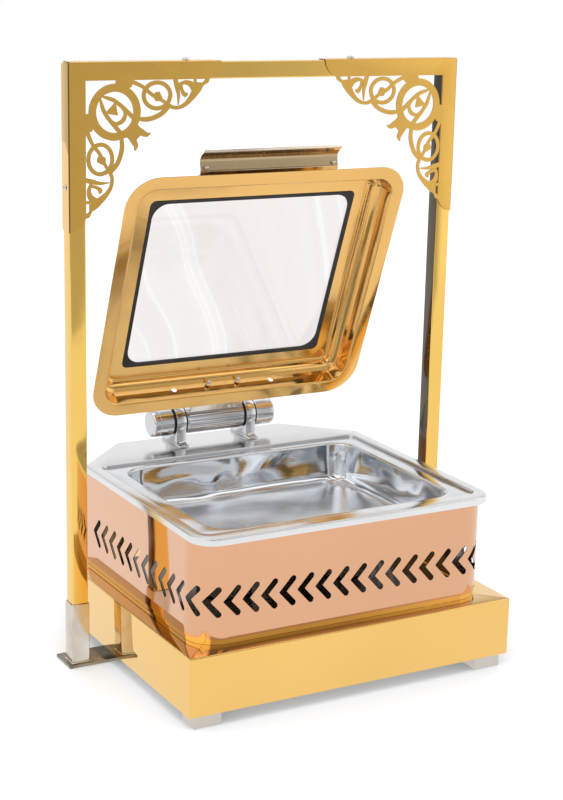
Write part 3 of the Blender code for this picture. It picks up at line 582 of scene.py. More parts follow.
def make_sheet_waves():
    """Soft hollows that rolling and pressing leave in polished sheet."""
    group, given, out = new_group("sheet_waves", [("Scale", "Float", 9.0), ("Depth", "Float", 0.0004)],
                                  [("Normal", "Vector")])
    waves = add_node(group, "TexNoise", Vector=object_place(group), Scale=given["Scale"], Detail=1.0,
                     Roughness=0.4, Distortion=0.3)
    bump = add_node(group, "Bump", Strength=1.0, Distance=given["Depth"], Height=waves.outputs["Fac"])
    group.links.new(bump.outputs["Normal"], out["Normal"])


def make_handling_marks():
    """Wiped patches and fingertips that dull a polish; gives its roughness and where they are."""
    group, given, out = new_group(
        "handling_marks", [("Clean", "Float", 0.05), ("Marked", "Float", 0.16), ("Size", "Float", 14.0)],
        [("Roughness", "Float"), ("Mask", "Float")])
    place = object_place(group)
    patches = add_node(group, "TexNoise", Vector=place, Scale=given["Size"], Detail=4.0, Distortion=1.4)
    specks = add_node(group, "TexNoise", Vector=place, Scale=900.0, Detail=2.0)
    soft = ramp(group, patches.outputs["Fac"], [(0.48, 0.0), (0.66, 1.0)])
    fine = ramp(group, specks.outputs["Fac"], [(0.40, 0.55), (0.62, 1.0)])
    mask = math_node(group, "MULTIPLY", soft, fine)
    spread = add_node(group, "MapRange", Value=mask, To_Min=given["Clean"], To_Max=given["Marked"])
    group.links.new(spread.outputs["Result"], out["Roughness"])
    group.links.new(mask, out["Mask"])


def make_brushed_lines():
    """Straight fine scratches: Along stretches them, and is small along the brushing."""
    group, given, out = new_group(
        "brushed_lines", [("Along", "Vector", (1.0, 1.0, 0.02)), ("Scale", "Float", 900.0),
                          ("Depth", "Float", 0.00002), ("Normal", "Vector", (0.0, 0.0, 0.0))],
        [("Normal", "Vector"), ("Mask", "Float")])
    stretch = add_node(group, "VectorMath", {"operation": "MULTIPLY"}, _0=object_place(group),
                       _1=given["Along"])
    lines = add_node(group, "TexNoise", Vector=stretch.outputs[0], Scale=given["Scale"], Detail=3.0,
                     Roughness=0.65)
    bump = add_node(group, "Bump", Strength=1.0, Distance=given["Depth"], Height=lines.outputs["Fac"],
                    Normal=given["Normal"])
    group.links.new(bump.outputs["Normal"], out["Normal"])
    group.links.new(lines.outputs["Fac"], out["Mask"])


def make_painted_edge_highlight():
    """A lighter colour along sharp edges: a painted highlight."""
    group, given, out = new_group(
        "painted_edge_highlight", [("Colour", "Color", (1, 1, 1, 1)), ("Edge", "Color", (1, 1, 1, 1)),
                       ("Amount", "Float", 0.5)], [("Colour", "Color")])
    point = add_node(group, "NewGeometry").outputs["Pointiness"]
    rim = ramp(group, point, [(0.505, 0.0), (0.56, 1.0)])
    amount = math_node(group, "MULTIPLY", rim, given["Amount"])
    group.links.new(mixed(group, amount, given["Colour"], given["Edge"]), out["Colour"])


def make_coating_drift():
    """Slow drift between two tones of a thin coloured coating."""
    group, given, out = new_group(
        "coating_drift", [("First", "Color", (1, 1, 1, 1)), ("Second", "Color", (1, 1, 1, 1)),
                          ("Scale", "Float", 3.0)], [("Colour", "Color")])
    drift = add_node(group, "TexNoise", Vector=object_place(group), Scale=given["Scale"], Detail=2.0)
    mask = ramp(group, drift.outputs["Fac"], [(0.35, 0.0), (0.65, 1.0)])
    group.links.new(mixed(group, mask, given["First"], given["Second"]), out["Colour"])


def use_group(tree, name, **inputs):
    node = tree.nodes.new("ShaderNodeGroup")
    node.node_tree = bpy.data.node_groups[name]
    for label, value in inputs.items():
        if isinstance(value, bpy.types.NodeSocket):
            tree.links.new(value, node.inputs[label])
        else:
            node.inputs[label].default_value = value
    return node.outputs


# ---------------------------------------------------------------- finishes

def new_finish(name, metallic=1.0):
    material = bpy.data.materials.new(name)
    material.use_nodes = True
    tree = material.node_tree
    shader = tree.nodes["Principled BSDF"]
    shader.inputs["Metallic"].default_value = metallic
    return tree, shader.inputs


def shade(colour):
    return (*colour, 1.0)


def wire(tree, shader, colour, roughness, normal):
    tree.links.new(colour, shader["Base Color"])
    tree.links.new(roughness, shader["Roughness"])
    tree.links.new(normal, shader["Normal"])


def metal(name, first, second, edge, clean, marked, waves, drift=3.0, coat=0.0, along=None, lines=0.0,
          highlight_amount=0.08):
    """Polished sheet: tone drift, a painted highlight along the edges, wiped patches, soft waves and fine
    brushing.

    Waves are a scale and a depth; a coat is the clear layer over a coloured coating.
    """
    tree, shader = new_finish(name)
    tone = use_group(tree, "coating_drift", First=shade(first), Second=shade(second), Scale=drift)
    edge_lit = use_group(tree, "painted_edge_highlight", Colour=tone["Colour"], Edge=shade(edge), Amount=highlight_amount)
    marks = use_group(tree, "handling_marks", Clean=clean, Marked=marked)
    normal = use_group(tree, "sheet_waves", Scale=waves[0], Depth=waves[1])["Normal"]
    if along:
        normal = use_group(tree, "brushed_lines", Along=along, Depth=lines, Normal=normal)["Normal"]
    wire(tree, shader, edge_lit["Colour"], marks["Roughness"], normal)
    if coat:
        shader["Coat Weight"].default_value = coat
        shader["Coat Roughness"].default_value = 0.03
        shader["Coat IOR"].default_value = 1.6


def steel(name, first, second, clean, marked, waves, along=None, lines=0.0, drift=6.0):
    """Bare steel, a little lighter along its edges as a painted highlight."""
    metal(name, first, second, (0.9, 0.9, 0.9), clean, marked, waves, drift, 0.0, along, lines, 0.1)


def make_gold_finishes():
    metal("mirror_gold", (0.92, 0.55, 0.115), (0.88, 0.52, 0.105), (1.0, 0.75, 0.38), 0.03, 0.08,
          (6.0, 0.0006), coat=1.0)
    metal("lid_gold", (0.88, 0.49, 0.11), (0.82, 0.45, 0.10), (1.0, 0.74, 0.36), 0.12, 0.20,
          (14.0, 0.0008), coat=1.0)
    metal("tube_gold", (0.93, 0.58, 0.11), (0.89, 0.55, 0.10), (1.0, 0.75, 0.36), 0.07, 0.13,
          (9.0, 0.0003), coat=0.5, along=BRUSHED_UP, lines=0.000006)
    metal("bracket_gold", (0.86, 0.50, 0.085), (0.80, 0.46, 0.08), (1.0, 0.70, 0.34), 0.20, 0.28,
          (9.0, 0.0003), coat=0.2, along=(1.0, 1.0, 0.05), lines=0.00002)
    metal("grip_gold", (0.56, 0.41, 0.22), (0.46, 0.34, 0.18), (0.9, 0.78, 0.6), 0.22, 0.32,
          (12.0, 0.0005), coat=0.3, along=BRUSHED_ACROSS, lines=0.00002)


def make_inner_finishes():
    """Painted shade inside the body, a painted dark reflection across the arch, the cut edges of gold
    sheet, which also paint a shadow along the brackets' folds, and ground welds.
    """
    metal("tube_inner_dark_reflection", (0.075, 0.055, 0.035), (0.045, 0.035, 0.025), (0.3, 0.2, 0.1), 0.10, 0.18,
          (9.0, 0.0003), coat=0.5, along=BRUSHED_UP, lines=0.000006)
    metal("skirt_inner_shade", (0.26, 0.16, 0.11), (0.18, 0.11, 0.08), (0.4, 0.2, 0.1), 0.25, 0.35,
          (6.0, 0.0005), coat=0.1)
    metal("chamber_painted_shade", (0.15, 0.10, 0.07), (0.09, 0.06, 0.045), (0.2, 0.1, 0.1), 0.22, 0.35,
          (6.0, 0.0005), coat=0.1)
    metal("cut_edge_and_fold_shadow", (0.26, 0.14, 0.03), (0.20, 0.11, 0.02), (0.4, 0.2, 0.1), 0.25, 0.35,
          (6.0, 0.0005), coat=0.1)
    metal("tube_seam", (0.30, 0.18, 0.07), (0.22, 0.13, 0.05), (0.6, 0.4, 0.2), 0.25, 0.35,
          (40.0, 0.0001))


def make_copper():
    metal("copper", (0.76, 0.385, 0.195), (0.72, 0.36, 0.18), (1.0, 0.78, 0.64), 0.045, 0.10,
          (6.0, 0.0005), drift=2.0, coat=0.8)


def make_pan_steel():
    """Satin flange and floor, bright walls that the press left wavy."""
    tree, shader = new_finish("pan_steel")
    tone = use_group(tree, "coating_drift", First=shade((0.76, 0.78, 0.81)),
                     Second=shade((0.71, 0.73, 0.76)), Scale=7.0)
    # the sharp edges get a painted highlight
    edge_lit = use_group(tree, "painted_edge_highlight", Colour=tone["Colour"], Edge=shade((0.95, 0.95, 0.95)), Amount=0.1)
    marks = use_group(tree, "handling_marks", Clean=0.045, Marked=0.08)
    height = add_node(tree, "SeparateXYZ", Vector=object_place(tree)).outputs["Z"]
    on_floor = smooth_step(tree, height, PAN_FLOOR + 0.008, PAN_FLOOR + 0.003)
    on_flange = smooth_step(tree, height, LEDGE_TOP - 0.003, LEDGE_TOP)
    floor = math_node(tree, "MULTIPLY", on_floor, 0.20)
    flange = math_node(tree, "MULTIPLY", on_flange, 0.10)
    rough = math_node(tree, "ADD", marks["Roughness"], math_node(tree, "ADD", floor, flange))
    waves = use_group(tree, "sheet_waves", Scale=9.0, Depth=0.0055)["Normal"]
    lines = use_group(tree, "brushed_lines", Along=BRUSHED_ACROSS, Scale=300.0, Depth=0.00003, Normal=waves)
    wire(tree, shader, edge_lit["Colour"], rough, lines["Normal"])


def make_steel_finishes():
    make_pan_steel()
    steel("deck_steel", (0.82, 0.82, 0.83), (0.78, 0.78, 0.79), 0.17, 0.25, (8.0, 0.0006))
    # darker steel for the water pan: painted shade inside the body
    steel("inner_steel_shade", (0.42, 0.39, 0.36), (0.28, 0.26, 0.24), 0.16, 0.26, (8.0, 0.0006))
    steel("hinge_chrome", (0.76, 0.76, 0.77), (0.68, 0.68, 0.70), 0.13, 0.22, (30.0, 0.0006))
    steel("barrel_steel", (0.68, 0.68, 0.69), (0.58, 0.59, 0.61), 0.14, 0.22, (30.0, 0.0002),
          along=BRUSHED_ACROSS, lines=0.00001)
    steel("brushed_steel", (0.68, 0.65, 0.60), (0.60, 0.57, 0.52), 0.20, 0.32, (12.0, 0.0004),
          along=(0.03, 1.0, 1.0), lines=0.00002)
    steel("screw_steel", (0.80, 0.78, 0.74), (0.70, 0.68, 0.64), 0.12, 0.24, (60.0, 0.0001))
    steel("foot_steel", (0.66, 0.61, 0.55), (0.58, 0.54, 0.48), 0.30, 0.42, (20.0, 0.0002),
          along=(1.0, 1.0, 0.05), lines=0.00002)
    steel("bar_steel", (0.30, 0.24, 0.15), (0.13, 0.10, 0.06), 0.26, 0.36, (12.0, 0.0006),
          along=(0.04, 1.0, 1.0), lines=0.00006, drift=40.0)
    steel("socket_steel", (0.80, 0.73, 0.65), (0.60, 0.52, 0.43), 0.12, 0.30, (26.0, 0.0020),
          along=(1.0, 1.0, 0.04), lines=0.00002, drift=22.0)
    steel("lip_steel", (0.90, 0.87, 0.81), (0.82, 0.79, 0.73), 0.12, 0.22, (12.0, 0.0004),
          along=BRUSHED_ACROSS, lines=0.00001)


def make_rubber():
    tree, shader = new_finish("seal_rubber", metallic=0.0)
    tone = use_group(tree, "coating_drift", First=shade((0.022, 0.022, 0.022)),
                     Second=shade((0.036, 0.035, 0.034)), Scale=30.0)
    marks = use_group(tree, "handling_marks", Clean=0.5, Marked=0.68, Size=40.0)
    grain = add_node(tree, "TexNoise", Vector=object_place(tree), Scale=2600.0, Detail=2.0)
    bump = add_node(tree, "Bump", Strength=1.0, Distance=0.00004, Height=grain.outputs["Fac"])
    wire(tree, shader, tone["Colour"], marks["Roughness"], bump.outputs["Normal"])


def make_glass():
    """Clear glass with a grey cast and long soft streaks of painted reflection on the slant."""
    tree, shader = new_finish("window_glass", metallic=0.0)
    shader["Transmission Weight"].default_value = 1.0
    shader["IOR"].default_value = 1.48
    shader["Roughness"].default_value = 0.0
    place = object_place(tree)
    slant = add_node(tree, "VectorMath", {"operation": "DOT_PRODUCT"}, _0=place, _1=(3.2, 0.0, 1.3))
    wander = add_node(tree, "TexNoise", Vector=place, Scale=3.0, Detail=1.0).outputs["Fac"]
    along = math_node(tree, "ADD", slant.outputs["Value"], math_node(tree, "MULTIPLY", wander, 0.5))
    reflection_streaks = add_node(tree, "TexNoise", {"noise_dimensions": "1D"}, W=along, Scale=2.6, Detail=3.0,
                     Roughness=0.45)
    reflection_mask = ramp(tree, reflection_streaks.outputs["Fac"], [(0.30, 0.25), (0.46, 0.0), (0.53, 0.15), (0.55, 1.0),
                                               (0.57, 0.35), (0.72, 0.1)])
    # lighter streaks in the base colour are painted reflection
    tint = mixed(tree, reflection_mask, shade((0.905, 0.862, 0.838)), shade((0.99, 0.98, 0.97)))
    tree.links.new(tint, shader["Base Color"])
    normal = use_group(tree, "sheet_waves", Scale=5.0, Depth=0.0002)["Normal"]
    tree.links.new(normal, shader["Normal"])


def make_finishes():
    make_sheet_waves()
    make_handling_marks()
    make_brushed_lines()
    make_painted_edge_highlight()
    make_coating_drift()
    make_gold_finishes()
    make_inner_finishes()
    make_copper()
    make_steel_finishes()
    make_rubber()
    make_glass()


# ---------------------------------------------------------------- plinth and stand

def add_plinth():
    """A folded box, open below; its top has painted shade where it lies inside the body, under the burners.
    """
    low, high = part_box("plinth_shell")
    half = high.x

    def outline(amount):
        cut = PLINTH_CUT - amount * (2 - math.sqrt(2))
        corners = cut_rectangle(half - amount, -half + amount, half - amount, cut)
        return soft_polygon(corners, PLINTH_CORNER, 3)

    inner = outline(PLINTH_SHEET)
    rings = [at_height(inner, high.z - PLINTH_SHEET), at_height(inner, low.z),
             at_height(outline(0.0), low.z)]
    for angle in quarter(4):
        rings.append(at_height(outline(FOLD_RADIUS * (1 - math.cos(angle))),
                               high.z - FOLD_RADIUS * (1 - math.sin(angle))))
    bm = loft(rings)
    bm.faces.ensure_lookup_table()
    top = bm.faces[-1]
    outer = list(top.verts)
    bmesh.ops.delete(bm, geom=[top], context="FACES_ONLY")
    chamber = rounded(BODY_HALF - 0.004, -BODY_HALF + 0.004, BODY_REAR - 0.004, BODY_RADIUS, 12)
    hidden = [bm.verts.new((x, y, high.z)) for x, y in chamber]
    fill_between(bm, outer, hidden)
    # the top inside the body is painted dark: painted shade
    bm.faces.new(hidden).material_index = 1
    add_piece("plinth", bm, "mirror_gold", nodes=["plinth_shell"], others=["chamber_painted_shade"])
    add_plinth_seams(half, high.z)


def add_plinth_seams(half, top):
    """Ground-flush weld lines that run in from the front corners."""
    reach = half - BODY_HALF + SEAM_LENGTH_INSIDE
    wide = SEAM_HALF_WIDTH
    section = ((-wide, -0.0004), (wide, -0.0004), (wide, 0.00005), (0.0, 0.00012), (-wide, 0.00005))
    for side, sign in SIDES:
        rings = []
        for t in (0.02, 0.3, 0.7, 1.0):
            x, y = sign * (half - reach * t), -half + reach * t
            rings.append([(x + u, y + sign * u, top + lift) for u, lift in section])
        add_piece(f"plinth_seam_{side}", loft(rings), "tube_seam")


def add_feet():
    """The four feet, the flat bar under the plinth and the plinth's base sheet."""
    for depth in ("front", "rear"):
        for side in ("left", "right"):
            node = f"foot_{depth}_{side}"
            add_piece(f"{node}_block", softened(node, 0.0022, 4), "foot_steel", nodes=[node])
    add_piece("crossbar_flat", softened("stand_crossbar", 0.0009), "bar_steel", nodes=["stand_crossbar"])
    add_piece("plinth_base_sheet", softened("plinth_base_plate", 0.0004, 2), "brushed_steel",
              nodes=["plinth_base_plate"])


def square(x, y, half, radius):
    """A square with rounded corners round a middle."""
    corners = [(x - half, y - half), (x + half, y - half), (x + half, y + half), (x - half, y + half)]
    return soft_polygon(corners, radius)


def paint_inner_faces(piece, sign):
    """The faces that look across the arch get a darker finish: a painted dark reflection."""
    piece.data.materials.append(bpy.data.materials["tube_inner_dark_reflection"])
    for polygon in piece.data.polygons:
        if polygon.normal.x * sign < -0.9 and abs(polygon.center.x) < ARCH_HALF - TUBE * 0.9:
            polygon.material_index = 1


def add_stand():
    """Two uprights and a top bar of square tube, mitred at the corners."""
    middle_y = ARCH_FRONT + TUBE / 2
    half = TUBE / 2
    bore = half - TUBE_WALL
    corner = ARCH_TOP - ARCH_HALF
    for side, sign in SIDES:
        x = sign * (ARCH_HALF - half)
        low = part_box(f"arch_upright_{side}")[0].z
        outer, inner = square(x, middle_y, half, TUBE_RADIUS), square(x, middle_y, bore, TUBE_RADIUS / 2)
        rings = [at_height(inner, low), at_height(outer, low)]
        rings += [[(px, py, abs(px) + corner - GAP) for px, py in outline] for outline in (outer, inner)]
        upright = add_piece(f"upright_{side}", loft(rings, closed=True), "tube_gold",
                            nodes=[f"arch_upright_{side}"])
        paint_inner_faces(upright, sign)
        add_socket(side, x, middle_y)
    rings = []
    for sign in (-1, 1):
        for reach, radius in (((bore, TUBE_RADIUS / 2), (half, TUBE_RADIUS))[::sign * -1]):
            section = square(middle_y, ARCH_TOP - half, reach, radius)
            rings.append([(sign * (z - corner), y, z) for y, z in section])
    add_piece("top_bar", loft(rings, closed=True), "tube_gold", nodes=["arch_top_bar"])


def add_socket(side, x, y):
    """A steel sleeve round an upright's foot, and the weld bead round its own."""
    low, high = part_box(f"stand_socket_{side}")
    half = (high.x - low.x) / 2
    skin, sleeve = square(x, y, half, 0.0024), square(x, y, TUBE / 2 + GAP / 2, 0.0016)
    edge = square(x, y, half - 0.0005, 0.0020)
    rings = [at_height(sleeve, low.z), at_height(skin, low.z), at_height(skin, high.z - 0.0006),
             at_height(edge, high.z), at_height(sleeve, high.z)]
    add_piece(f"socket_{side}", loft(rings, closed=True), "socket_steel", nodes=[f"stand_socket_{side}"])
    rings = []
    for angle in quarter(5):
        out = half + WELD * (1 - math.sin(angle))
        rings.append(at_height(square(x, y, out, 0.0028), low.z + WELD * (1 - math.cos(angle))))
    rings.append(at_height(square(x, y, half - 0.0002, 0.0022), low.z))
    add_piece(f"socket_weld_{side}", loft(rings, closed=True), "screw_steel")


# ---------------------------------------------------------------- corner brackets

def smooth_path(points, spacing):
    """Catmull-Rom curve through (a, b, width) points, resampled at about a spacing."""
    ends = [2 * points[0] - points[1]] + list(points) + [2 * points[-1] - points[-2]]
    path = []
    for p0, p1, p2, p3 in zip(ends, ends[1:], ends[2:], ends[3:]):
        steps = max(1, round((p2.xy - p1.xy).length / spacing))
        for i in range(steps):
            t = i / steps
            path.append(0.5 * ((2 * p1) + (p2 - p0) * t + (2 * p0 - 5 * p1 + 4 * p2 - p3) * t ** 2
                               + (3 * p1 - p0 - 3 * p2 + p3) * t ** 3))
    path.append(points[-1])
    return path


def ribbon(stroke, spacing):
    """Quads of a band that follows a stroke of (a, b, width) points, in millimetres."""
    path = smooth_path([Vector(p) for p in stroke], spacing)
    left, right = [], []
    for i, point in enumerate(path):
        along = (path[min(i + 1, len(path) - 1)].xy - path[max(i - 1, 0)].xy).normalized()
        across = Vector((-along.y, along.x)) * point.z / 2
        left.append(tuple(point.xy + across))
        right.append(tuple(point.xy - across))
    return [[left[i], left[i + 1], right[i + 1], right[i]] for i in range(len(path) - 1)]


def ring_stroke(centre, along, across, width, count=12):
    """A closed oval stroke, which runs on past its first point to hide the join."""
    stroke = []
    for i in range(count + 2):
        angle = 2 * math.pi * i / count
        stroke.append((centre[0] + along * math.cos(angle), centre[1] + across * math.sin(angle), width))
    return stroke


# One arm's scrollwork, in millimetres along the arm and away from it.  The other arm is
# its mirror image in the corner's diagonal.
CORNER_RING = ring_stroke((45.5, 45.0), 35.0, 35.0, 11.0)
ARM_STROKES = [
    ring_stroke((112.0, 22.5), 21.3, 18.6, 6.2),
    [(66, 1, 7), (78, 4.5, 6), (91, 11, 5.5), (102, 20, 5.5), (111, 25, 6), (122, 31, 5), (132, 38, 5.5)],
    [(107.5, 26.5, 8), (112, 24.5, 14), (118, 21.5, 10)],
    [(83, 55.5, 6), (95, 56.5, 7), (106, 54.5, 7), (118, 49.5, 7), (127, 42, 7), (132, 36, 6)],
    [(130, 37, 6), (139, 40.5, 5.5), (149, 40, 5.5), (159, 35, 6.5), (168, 26, 9),
     (175, 16, 13), (179, 9, 15)],
    [(141, -1, 7), (143.5, 9, 7.5), (146.3, 22, 5), (146, 37, 1.5)],
    [(146, 8, 4), (156, 4.5, 6), (166, 7, 9), (172, 14, 10)],
    [(149.5, 5, 5), (152, 16, 5), (157, 22.5, 7), (161, 20, 2.5)],
    [(23, 22, 1.5), (33, 24.5, 5), (44, 28.5, 6), (56, 37, 6), (66, 46, 6.5), (75, 54, 6.5), (83, 59, 6)],
    [(57, 38, 5), (61.8, 46, 5.5), (60, 54, 6), (55, 60, 6)],
    [(82, 71, 9), (89.5, 76, 9), (95, 78.5, 7), (101.5, 76.5, 1.5)],
]
ARM_AREAS = [
    [(47, -1), (73, -1), (72, 9), (62, 15), (45, 12)],
    [(171, -1), (175.5, -1), (175.5, 8), (171, 8)],
    [(176, 4.5), (186, 5), (191, -1), (197, -1), (195, 5), (187.5, 9), (183, 14), (176, 12)],
]
SHARED_AREAS = [
    [(68, 70), (80, 62), (87, 70), (86, 79), (79, 86), (70, 87), (62, 80)],
    [(46.5, 30), (30, 46.5), (50, 50)],
]


def scrollwork(spacing=2.5):
    """All the areas of the corner's scrollwork, in metres from the arms' inner corner."""
    areas = []
    for stroke in [CORNER_RING] + ARM_STROKES:
        areas += ribbon(stroke, spacing)
    areas += ARM_AREAS
    mirrored = [[(b, a) for a, b in area] for area in areas]
    return [[(a / 1000, b / 1000) for a, b in area] for area in areas + mirrored + SHARED_AREAS]


def bracket_areas():
    """The unrolled bracket: u and v run from its outer corner along the two arms."""
    width = TUBE + GAP + PLATE
    start = 2.5 * PLATE
    arm = ([(0.0, 0.0), (width, 0.0)]
           + [(width * math.cos(angle), PLATE_ARM - width + width * math.sin(angle))
              for angle in quarter(16)])
    nose = arc((-FLANGE_DEPTH + 0.008, PLATE_ARM - 0.008), 0.008, 90, 180, 8)
    flange = [(-FLANGE_DEPTH, start), (0.0, start), (0.0, PLATE_ARM)] + nose
    areas = [arm, flange]
    areas += [[(v, u) for u, v in area] for area in areas]
    return areas + [[(u + width, v + width) for u, v in area] for area in scrollwork()]


def bend(run):
    """Across a fold: way in, way back, and how far the sheet faces outward and forward."""
    if run >= FOLD:
        return run, 0.0, 0.0, 1.0
    if run <= -FOLD:
        return 0.0, -run, 1.0, 0.0
    angle = math.pi / 4 * (run / FOLD + 1)
    out, forward = math.cos(angle), math.sin(angle)
    return FOLD * (1 - out), FOLD * (1 - forward), out, forward


def paint_flange(piece):
    """A polished side flange, and a painted shadow along the line where it was folded."""
    for polygon in piece.data.polygons:
        normal = polygon.normal
        if polygon.material_index == 0 and abs(normal.x) > 0.98:
            polygon.material_index = 2
        elif 0.15 < abs(normal.x) < 0.98 and abs(normal.y) > 0.15:
            # the fold faces take the dark cut-edge colour as a painted shadow
            polygon.material_index = 1


def add_brackets():
    """A pierced plate in each top corner, folded back over the arch on two sides."""
    reach = ARCH_HALF + GAP + PLATE
    top = ARCH_TOP + GAP + PLATE
    front = ARCH_FRONT - GAP - PLATE
    for side, sign in SIDES:

        def place(u, v, face):
            lift = PLATE * face
            (aside, back_u, out_u, front_u), (below, back_v, out_v, front_v) = bend(u), bend(v)
            return (sign * (reach - aside - lift * out_u),
                    front + back_u + back_v + lift * front_u * front_v,
                    top - below - lift * out_v)

        folds = []
        for i in range(9):
            run = FOLD * (i / 4 - 1)
            folds += [((run, 0.0), (run, PLATE_ARM)), ((0.0, run), (PLATE_ARM, run))]
        bracket = sheet(bracket_areas(), place, folds=folds, tags=(0, 0, 1))
        piece = add_piece(f"filigree_{side}", bracket, "bracket_gold", nodes=[f"corner_bracket_{side}"],
                          others=["cut_edge_and_fold_shadow", "mirror_gold"])
        paint_flange(piece)
        place, radius, height = round_node(f"bracket_bolt_{side}")
        bolt = screw(radius, height, place, "Z", 1)
        add_piece(f"bolt_{side}", bolt, "screw_steel", nodes=[f"bracket_bolt_{side}"])
        low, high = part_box(f"bracket_screw_{side}")
        middle = (low + high) / 2
        seat = low.x if sign > 0 else high.x
        head = screw((high.z - low.z) / 2, high.x - low.x, (seat, middle.y, middle.z), "X", sign)
        add_piece(f"screw_{side}", head, "screw_steel", nodes=[f"bracket_screw_{side}"])


# ---------------------------------------------------------------- body

class SidePath:
    """Runs from the left rear, round the front, to the right rear, at a distance outward."""

    def __init__(self):
        self.side = BODY_REAR + BODY_HALF - BODY_RADIUS
        self.bend = math.pi / 2 * BODY_RADIUS
        self.front = 2 * (BODY_HALF - BODY_RADIUS)
        self.length = 2 * (self.side + self.bend) + self.front

    def point(self, run, out):
        mirror = 1
        if run > self.length / 2:
            run = self.length - run
            mirror = -1
        centre = BODY_HALF - BODY_RADIUS
        if run <= self.side:
            x, y = -BODY_HALF - out, BODY_REAR - run
        elif run <= self.side + self.bend:
            angle = (run - self.side) / BODY_RADIUS
            radius = BODY_RADIUS + out
            x, y = -centre - radius * math.cos(angle), -centre - radius * math.sin(angle)
        else:
            x, y = -centre + run - self.side - self.bend, -BODY_HALF - out
        return (mirror * x, y)

    def bend_runs(self, steps=30):
        """Places of the fold lines across both corners."""
        runs = [self.side + self.bend * i / steps for i in range(steps + 1)]
        return runs + [self.length - run for run in reversed(runs)]


def chevron(run):
    """One arrow-shaped slot with round ends, pointing to lower run values."""
    half = SLOT_WIDTH / 2
    slope = math.atan2(SLOT_RISE, SLOT_RUN)
    normal = Vector((-math.sin(slope), math.cos(slope))) * half
    tip = half / math.sin(slope)
    start = math.degrees(slope) + 90
    end = arc((SLOT_RUN, SLOT_RISE), half, start, start - 180, 10)
    outer = soft_corner((SLOT_RUN - normal.y, -SLOT_RISE), (-tip, 0.0), end[0], 0.0016, 3)
    inner = soft_corner(end[-1], (tip, 0.0), (end[-1][0], -end[-1][1]), 0.0010, 3)
    points = outer + end + inner + [(u, -v) for u, v in reversed(end)]
    return [(run + u, SLOT_MIDDLE + v) for u, v in points]


def lower_edge(path):
    """Bottom edge of the skirt, with a cusped notch at the middle of each front bend."""
    edge = [(0.0, SKIRT_LOW)]
    for middle in (path.side + path.bend / 2, path.length - path.side - path.bend / 2):
        for sign in (-1, 1):
            centre = (middle + sign * NOTCH_RADIUS, SKIRT_LOW + NOTCH_RADIUS)
            turn = (270, 360) if sign < 0 else (180, 270)
            edge += arc(centre, NOTCH_RADIUS, *turn, 14)
    edge.append((path.length, SKIRT_LOW))
    return edge


def add_body():
    """Base ring, slotted skirt and rear cover."""
    path = SidePath()
    folds = path.bend_runs()

    def wall(inner, thickness):
        def place(run, z, face):
            return (*path.point(run, inner + thickness * (1 - face)), z)
        return place

    ring_area = [(0.0, RING_LOW), (path.length, RING_LOW), (path.length, RING_TOP), (0.0, RING_TOP)]
    lines = [((run, RING_LOW), (run, RING_TOP)) for run in folds]
    add_piece("base_ring", sheet([ring_area], wall(-BODY_SHEET, BODY_SHEET), folds=lines), "mirror_gold",
              nodes=["body_ring"])
    outline = lower_edge(path) + [(path.length, SKIRT_TOP), (0.0, SKIRT_TOP)]
    middle = path.length / 2
    count = int((middle - 0.020) / SLOT_PITCH)
    slots = [chevron(middle + SLOT_PITCH * (i + 0.5) - SLOT_RUN / 2) for i in range(-count, count)]
    lines = [((run, SKIRT_LOW - 0.001), (run, SKIRT_TOP + 0.001)) for run in folds]
    # the skirt's inner face is painted darker: painted shade seen through the slots
    skirt = sheet([outline], wall(GAP, BODY_SHEET), holes=slots, folds=lines, tags=(0, 1, 2))
    add_piece("skirt", skirt, "copper", nodes=["copper_skirt"], others=["skirt_inner_shade", "hinge_chrome"])
    add_piece("rear_cover", softened("rear_panel", 0.0003, 2), "brushed_steel", nodes=["rear_panel"])


# ---------------------------------------------------------------- deck and pans

def deck_outline(amount=0.0):
    """Round front corners and cut rear corners, moved inward by an amount."""
    half, front, rear = DECK_HIGH.x - amount, DECK_LOW.y + amount, DECK_HIGH.y - amount
    radius = DECK_RADIUS - amount
    cut = DECK_CUT - amount * (2 - math.sqrt(2))
    corners = cut_rectangle(half, front, rear, cut)
    rear_run = []
    for i in range(2, 6):
        rear_run += soft_corner(corners[i - 1], corners[i], corners[(i + 1) % 6], 0.006, 4)
    return (arc((-half + radius, front + radius), radius, 180, 270, 18)
            + arc((half - radius, front + radius), radius, 270, 360, 18) + rear_run)


def add_deck():
    """One pressed sheet: rolled rim, flat top, recess for the pan flanges and the well."""
    low, top = DECK_LOW.z, DECK_HIGH.z
    roll, soft, foot = 0.0026, 0.0012, 0.0008
    loops = [(deck_outline(), low)]
    for angle in quarter(5):
        loops.append((deck_outline(roll * (1 - math.cos(angle))), top - roll * (1 - math.sin(angle))))
    for angle in quarter(5):
        shape = inset(RECESS, -soft * (1 - math.sin(angle)))
        loops.append((rounded(*shape), top - soft * (1 - math.cos(angle))))
    for angle in quarter(5):
        shape = inset(RECESS, foot * (1 - math.cos(angle)))
        loops.append((rounded(*shape), LEDGE_TOP + foot * (1 - math.sin(angle))))
    step = rounded(*inset(RECESS, -DECK_SHEET))
    loops += [(rounded(*WELL), LEDGE_TOP), (rounded(*WELL), LEDGE_TOP - DECK_SHEET),
              (step, LEDGE_TOP - DECK_SHEET), (step, top - DECK_SHEET),
              (deck_outline(roll), top - DECK_SHEET), (deck_outline(DECK_SHEET), top - roll),
              (deck_outline(DECK_SHEET), low)]
    bm = bmesh.new()
    rows = [[bm.verts.new(point) for point in at_height(outline, z)] for outline, z in loops]
    for low_row, high_row in zip(rows, rows[1:] + rows[:1]):
        if len(low_row) == len(high_row):
            band(bm, low_row, high_row)
        else:
            fill_between(bm, low_row, high_row)
    add_piece("deck", bm, "deck_steel", nodes=["deck_plate"])


